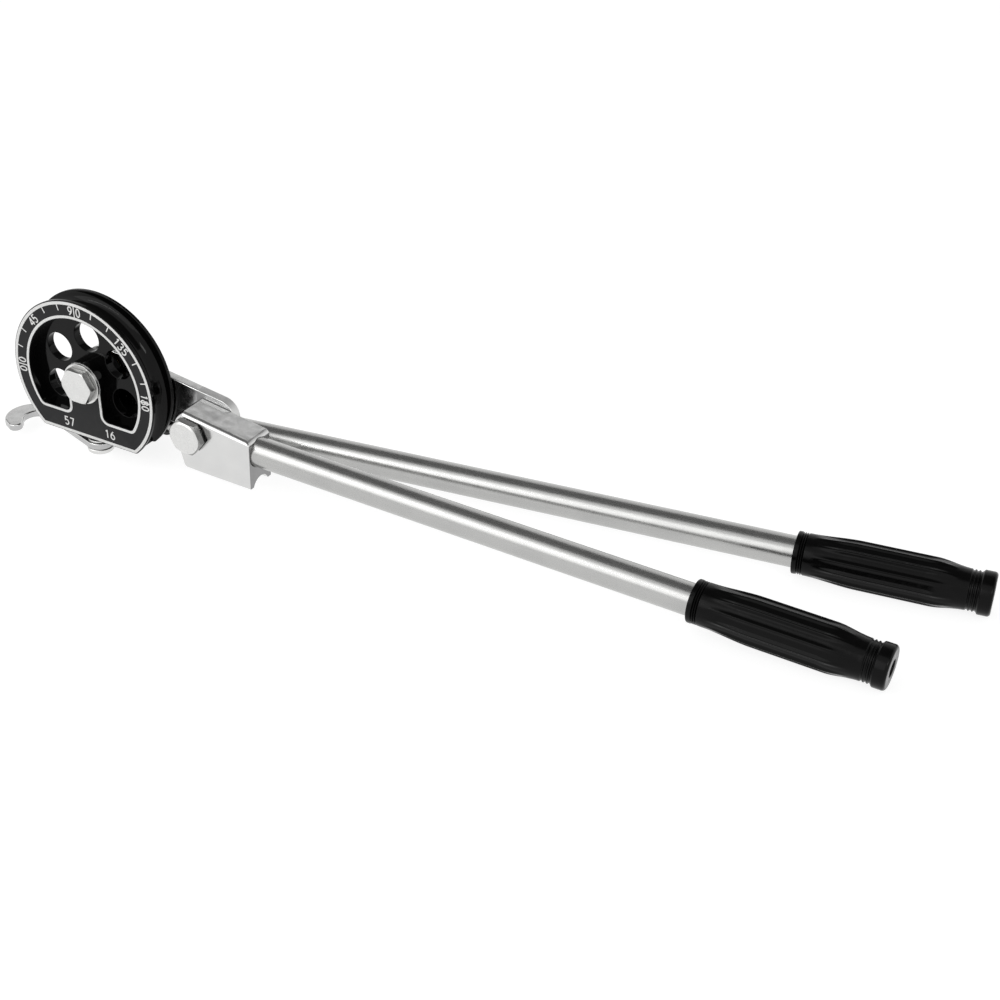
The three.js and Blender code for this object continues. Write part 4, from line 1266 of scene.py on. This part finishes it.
def shoe_block():
    outline = shoe_outline()
    rows = edge_rows(1.0, SHOE_EASE_STEPS)
    rings = [shoe_ring(outline, SHOE_FRONT, ease_at, inwards, back) for inwards, back in rows]
    rings += [shoe_ring(outline, SHOE_BACK, lambda x: -SHOE_BACK_EASE, -inwards, back)
              for inwards, back in reversed(rows)]
    block = skin("shoe_forging", rings)
    reach = SHOE_LENGTH + SHOE_NOSE
    behind = SHOE_BACK + OVERRUN
    cutter = skin("groove_side", [[(x, y, z) for y, z in groove_section()] for x in (-reach, reach)])
    socket = socket_drill("socket", SHOE_SOCKET_START, SHOE_LENGTH, SHOE_SOCKET_CHAMFER)
    shifted(socket, 0, CENTER_DEPTH, -SHOE_HANDLE_DROP)
    bore = flared_drill("shoe_bore", SHOE_BORE, SHOE_FRONT, SHOE_BACK)
    seat = drill("washer_seat", WASHER_SEAT_RADIUS, WASHER_SEAT_FRONT, behind, HOLE_STEPS)
    pin = drill("shoe_pin_hole", PIN_HOLE, CENTER_DEPTH - SHOE_PIN_DEPTH, behind)
    shifted(pin, SHOE_PIN_PLACE, 0, -SHOE_HANDLE_DROP)
    return carved(block, cutter, socket, bore, seat, pin)


def groove_section():
    """In depth and height: all that lies below the shoe's face, and the tube's half round above it."""
    top = -SHOE_FACE_DROP
    half = math.degrees(math.asin(SHOE_GAP / BENT_TUBE_RADIUS))
    groove = arc(CENTER_DEPTH, top - SHOE_GAP, BENT_TUBE_RADIUS, 180 - half, half, GROOVE_STEPS)
    beside, corner = SHOE_FRONT - CUT_BESIDE, top + SHOE_FACE_EASE
    front = [(beside, top - CUT_BELOW), (beside, corner), (SHOE_FRONT, corner),
             (SHOE_FRONT + SHOE_FACE_EASE, top)]
    back = [(SHOE_BACK + SHOE_FRONT - depth, height) for depth, height in reversed(front)]
    return front + groove + back


fitted(shoe_block(), shoe_frame, shoe_nickel, "shoe", ["shoe_block"])

# %% [markdown]
# ## Handle tubes
# Stock 19 mm tube, brushed and plated. A turned wall with rounded ends is all it takes; the grain that shows
# on the photograph is in the finish. The roll pin's holes are cut through both walls.

# %% Tubes
TUBE_RADIUS = 9.525
TUBE_WALL = 2.0
TUBE_EASE = 0.6
GRIP_LENGTH = 113.4
GRIP_FROM_PIVOT = 338.8
GRIP_FROM_WHEEL = 459.2
GRIP_END_WALL = 5.0


def handle_tube(name, start, grip_start, pin_place):
    end = grip_start + GRIP_LENGTH - GRIP_END_WALL - SEAT_GAP
    inner = TUBE_RADIUS - TUBE_WALL
    profile = ([(inner, start)] + front_edge(TUBE_RADIUS, start, TUBE_EASE)
               + back_edge(TUBE_RADIUS, end, TUBE_EASE) + [(inner, end)])
    tube = along_x(turned(name, profile, TUBE_STEPS))
    reach = TUBE_RADIUS + OVERRUN
    return carved(tube, shifted(drill("tube_pin_hole", PIN_HOLE, -reach, reach), pin_place))


shoe_tube = handle_tube("shoe_tube_satin", SHOE_SOCKET_START + SEAT_GAP, GRIP_FROM_PIVOT, SHOE_PIN_PLACE)
fitted(shoe_tube, shoe_handle_frame, tube_nickel, "shoe", ["shoe_handle_tube"])
form_tube = handle_tube("form_tube_satin", SOCKET_BORE_START + SEAT_GAP, GRIP_FROM_WHEEL, FORM_PIN_PLACE)
fitted(form_tube, form_handle_frame, tube_nickel, "form", ["form_handle_tube"])

# %% [markdown]
# ## The grips
# Moulded rubber sleeves: a lip, a few fine rings, a swelling body pressed with long flutes that leave narrow
# ridges between them, a neck with fine rings and a collar with a round hole in its end. A sculpted grip would
# be uneven, so it is turned from rows of radii. Each row also says how deep the flutes are there.

# %% Turned grip
LIP_RADIUS = 12.75
LIP_LENGTH = 2.4
LIP_ROUNDING = 0.5
LIP_EASE = 0.4
BODY_START = 6.5
SHOULDER_RADIUS = 12.6
BELLY_RADIUS = 14.4
NECK_RADIUS = 12.1
NECK_START = 99.0
COLLAR_START = 105.5
COLLAR_RADIUS = 13.0
COLLAR_ROUNDING = 2.0
COLLAR_STEPS = 8
COLLAR_EASE = 0.3
COLLAR_RISE = 0.8
ROWS_BEFORE_NECK = (3, 1)
RING_DEPTH = 0.8
RING_COUNT = 3
RING_STEPS = 8
FLUTE_START = 10.0
FLUTE_END = 93.0
FLUTE_COUNT = 12
FLUTE_DEPTH = 1.3
FLUTE_FULLNESS = 1.6
BODY_ROWS = 60
GRIP_STEPS = 192
END_HOLE_RADIUS = 5.0
END_EASE = 0.6
GRIP_BORE = 9.775


def smooth(value, low, high):
    share = min(1.0, max(0.0, (value - low) / (high - low)))
    return share * share * (3 - 2 * share)


def grip_radius(place):
    fluted = FLUTE_END - FLUTE_START
    rise = smooth(place, BODY_START, FLUTE_START + fluted / 3)
    fall = smooth(place, FLUTE_END - fluted / 6, NECK_START)
    body = SHOULDER_RADIUS + (BELLY_RADIUS - SHOULDER_RADIUS) * rise
    return body + (NECK_RADIUS - body) * fall


def flute_share(place):
    along = (place - FLUTE_START) / (FLUTE_END - FLUTE_START)
    return min(1.0, FLUTE_FULLNESS * math.sin(math.pi * along)) if 0 < along < 1 else 0.0


def ring_grooves(start, end, count, radius):
    """Fine grooves in a row, each with a round foot."""
    pitch = (end - start) / count
    rows = []
    for groove in range(count):
        for step in range(RING_STEPS):
            share = step / RING_STEPS
            depth = RING_DEPTH * math.sin(math.pi * share) ** 2
            rows.append((start + pitch * (groove + share), radius - depth))
    return rows + [(end, radius)]


def grip_rows():
    """Places along the grip with radius and flute share, from the mouth over the skin to the bore."""
    body = [FLUTE_START + (FLUTE_END - FLUTE_START) * step / BODY_ROWS for step in range(BODY_ROWS + 1)]
    body += [NECK_START - before for before in ROWS_BEFORE_NECK]
    lip = front_edge(LIP_RADIUS, 0, LIP_ROUNDING)
    end = back_edge(COLLAR_RADIUS, GRIP_LENGTH, COLLAR_ROUNDING, COLLAR_STEPS)
    skin_rows = ([(place, radius) for radius, place in lip]
                 + [(LIP_LENGTH - LIP_EASE, LIP_RADIUS), (LIP_LENGTH, LIP_RADIUS - LIP_EASE / 2)]
                 + ring_grooves(LIP_LENGTH + LIP_EASE / 2, BODY_START, RING_COUNT, SHOULDER_RADIUS)
                 + [(place, grip_radius(place)) for place in body]
                 + ring_grooves(NECK_START, COLLAR_START, RING_COUNT, NECK_RADIUS)
                 + [(COLLAR_START + COLLAR_EASE, COLLAR_RADIUS - COLLAR_EASE),
                    (COLLAR_START + COLLAR_RISE, COLLAR_RADIUS)]
                 + [(place, radius) for radius, place in end])
    bore_end = GRIP_LENGTH - GRIP_END_WALL
    inside = [(GRIP_LENGTH, END_HOLE_RADIUS + END_EASE), (GRIP_LENGTH - END_EASE, END_HOLE_RADIUS),
              (bore_end, END_HOLE_RADIUS), (bore_end, GRIP_BORE), (LIP_EASE, GRIP_BORE),
              (0, GRIP_BORE + LIP_EASE)]
    return ([(place, radius, flute_share(place)) for place, radius in skin_rows]
            + [(place, radius, 0.0) for place, radius in inside])


def turned_grip(name):
    rows = grip_rows()
    rings = [[(place, y, z) for y, z in arc(0, 0, radius, 0, WHOLE, GRIP_STEPS)[:-1]]
             for place, radius, _ in rows]
    thing = skin(name, rings, closed=True)
    share = thing.data.attributes.new("flute_share", "FLOAT", "POINT")
    share.data.foreach_set("value", [row[2] for row in rows for _ in range(GRIP_STEPS)])
    return thing


print("grip rows", len(grip_rows()))

# %% [markdown]
# The flutes follow a rule, so a node tree presses them: each point moves towards the axis by a wave of its
# angle, as deep as its row says. They run out to points at both ends, as the moulded ones do.

# %% Flutes pressed with Geometry Nodes
RIDGE_SHARPNESS = 3.0
GRIP_SHARP = 50.0


def flute_tree():
    tree, entry = group("pressed_flutes", grip="Geometry", count="Int", depth="Float", sharpness="Float",
                        rubber="Material")
    split = node(tree, "ShaderNodeSeparateXYZ", {0: node(tree, "GeometryNodeInputPosition")}).outputs
    share = node(tree, "GeometryNodeInputNamedAttribute", {"Name": "flute_share"}).outputs["Attribute"]
    angle = calc(tree, "ARCTAN2", split["Z"], split["Y"])
    wave = calc(tree, "COSINE", calc(tree, "MULTIPLY", angle, entry["count"]))
    half = calc(tree, "ADD", calc(tree, "MULTIPLY", wave, 0.5), 0.5)
    valley = calc(tree, "SUBTRACT", 1.0, calc(tree, "POWER", half, entry["sharpness"]))
    depth = calc(tree, "MULTIPLY", calc(tree, "MULTIPLY", valley, share), entry["depth"])
    inward = polar(tree, angle, calc(tree, "MULTIPLY", depth, -1.0), "YZ")
    press = node(tree, "GeometryNodeSetPosition", {"Geometry": entry["grip"], "Offset": inward})
    return painted(tree, press, entry["rubber"])


flutes = flute_tree()
for name, start, place, body, packed in (
        ("front_grip_rubber", GRIP_FROM_PIVOT, shoe_handle_frame, "shoe", "shoe_grip"),
        ("rear_grip_rubber", GRIP_FROM_WHEEL, form_handle_frame, "form", "form_grip")):
    thing = grown(turned_grip(name), flutes, count=FLUTE_COUNT, depth=FLUTE_DEPTH, sharpness=RIDGE_SHARPNESS,
                  rubber=grip_rubber)
    fitted(shifted(thing, start), place, grip_rubber, body, [packed], sharp=GRIP_SHARP)

# %% [markdown]
# ## The tube latch
# A flat hook that swings on a screw under the wheel: its eye is round, its arm passes behind the tube and its
# end curls round to the front. It is drawn from above as arcs about the screw and about the tube, so the
# mouth fits the tube it holds. An even strip along a curve would be simpler, but this hook is not even.

# %% Hook
LATCH_TOP = -47.3
LATCH_THICKNESS = 4.8
LATCH_BOTTOM = LATCH_TOP - LATCH_THICKNESS
LATCH_EYE = 8.8
LATCH_HEAD_BOTTOM = -55.6
TUBE_CLEARANCE = 0.5
HOOK_OUTER_RADIUS = 17.25
HOOK_OUTER_X = -61.3
HOOK_OUTER_DEPTH = 10.3
HOOK_TIP_X = -64.4
HOOK_TIP_DEPTH = -1.7
HOOK_TIP_RADIUS = 4.6
HOOK_TIP_ANGLES = (238.0, 385.0)
HOOK_MOUTH_ANGLE = 231.0
HOOK_SHOULDER_ANGLE = 230.0
HOOK_EASE = 0.9
HOOK_EYE_STEPS = 60
HOOK_ARC_STEPS = 50
HOOK_TIP_STEPS = 24


def seen_from_screw(x, depth):
    """Distance and direction of a place as seen from the latch's screw."""
    across, along = x - LATCH_X, depth - LATCH_DEPTH
    return math.hypot(across, along), math.degrees(math.atan2(along, across)) + WHOLE


def hook_outline():
    tube_x = -WHEEL_RADIUS
    inner = BENT_TUBE_RADIUS + TUBE_CLEARANCE
    span, heading = seen_from_screw(tube_x, CENTER_DEPTH)
    front = heading + math.degrees(math.acos((inner + LATCH_EYE) / span))
    outer_span, outer_heading = seen_from_screw(HOOK_OUTER_X, HOOK_OUTER_DEPTH)
    back = outer_heading - math.degrees(math.acos((LATCH_EYE - HOOK_OUTER_RADIUS) / outer_span))
    return (arc(LATCH_X, LATCH_DEPTH, LATCH_EYE, front, back + WHOLE, HOOK_EYE_STEPS)
            + arc(HOOK_OUTER_X, HOOK_OUTER_DEPTH, HOOK_OUTER_RADIUS, back, HOOK_SHOULDER_ANGLE,
                  HOOK_ARC_STEPS)
            + arc(HOOK_TIP_X, HOOK_TIP_DEPTH, HOOK_TIP_RADIUS, *HOOK_TIP_ANGLES, HOOK_TIP_STEPS)
            + arc(tube_x, CENTER_DEPTH, inner, HOOK_MOUTH_ANGLE, front - 180, HOOK_ARC_STEPS))


def latch_hook():
    hook = rounded_slab("hook_plate", hook_outline(), 0, LATCH_THICKNESS, HOOK_EASE)
    lay_down = Matrix(((1, 0, 0, 0), (0, 0, 1, 0), (0, 1, 0, LATCH_BOTTOM), (0, 0, 0, 1)))
    moved(hook, lay_down)
    hook.data.flip_normals()
    hole = along_z(flared_drill("hook_hole", LATCH_HOLE, LATCH_BOTTOM, LATCH_TOP))
    return carved(hook, shifted(hole, LATCH_X, LATCH_DEPTH))


fitted(latch_hook(), wheel_frame, hook_nickel, "latch", ["latch_hook"])

# %% [markdown]
# The hook turns on a screw, with a washer between it and the boss. The screw's round head below is one of the
# tool's three feet, so its edge is turned soft. Both are profiles about the upright axis.

# %% Latch screw and washer
SCREW_HEAD_RADIUS = 8.8
SCREW_HEAD_ROUNDING = 1.2
SCREW_HEAD_STEPS = 8
SCREW_HEAD_EASE = 0.3
SCREW_SHANK = 4.0
SCREW_TOP = -27.6
LATCH_WASHER_RADIUS = 7.6
LATCH_WASHER_THICKNESS = 1.2

head_top = LATCH_BOTTOM - SEAT_GAP
head_edge = front_edge(SCREW_HEAD_RADIUS, LATCH_HEAD_BOTTOM, SCREW_HEAD_ROUNDING, SCREW_HEAD_STEPS)
screw = turned("latch_screw_zinc", [(0, LATCH_HEAD_BOTTOM)] + head_edge + [
    (SCREW_HEAD_RADIUS, head_top - SCREW_HEAD_EASE), (SCREW_HEAD_RADIUS - SCREW_HEAD_EASE, head_top),
    (SCREW_SHANK, head_top), (SCREW_SHANK, SCREW_TOP), (0, SCREW_TOP)], HEX_STEPS)
flat_ring = washer("latch_washer_zinc", LATCH_HOLE, LATCH_WASHER_RADIUS, LATCH_TOP + SEAT_GAP,
                   LATCH_TOP + SEAT_GAP + LATCH_WASHER_THICKNESS)
for thing, packed in ((screw, "latch_screw"), (flat_ring, "latch_washer")):
    fitted(along_z(thing), latch_frame, bolt_zinc, "form", [packed])

# %% [markdown]
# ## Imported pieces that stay
# Bushes, sleeves, thrust washers and roll pins hide inside the joints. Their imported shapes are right, so
# they stay and only get their metal.

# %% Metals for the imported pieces
for material, nodes in ((bushing_bronze, ("hub_sleeve", "link_thrust_washer", "link_bush", "pivot_sleeve",
                                          "pivot_washer")),
                        (pin_steel, ("form_handle_pin", "shoe_handle_pin"))):
    for name in nodes:
        piece = frame["nodes"][name]
        if not piece.material_slots:
            piece.data.materials.append(material)
        piece.material_slots[0].material = material
        print("finish of", name, "is", material.name)
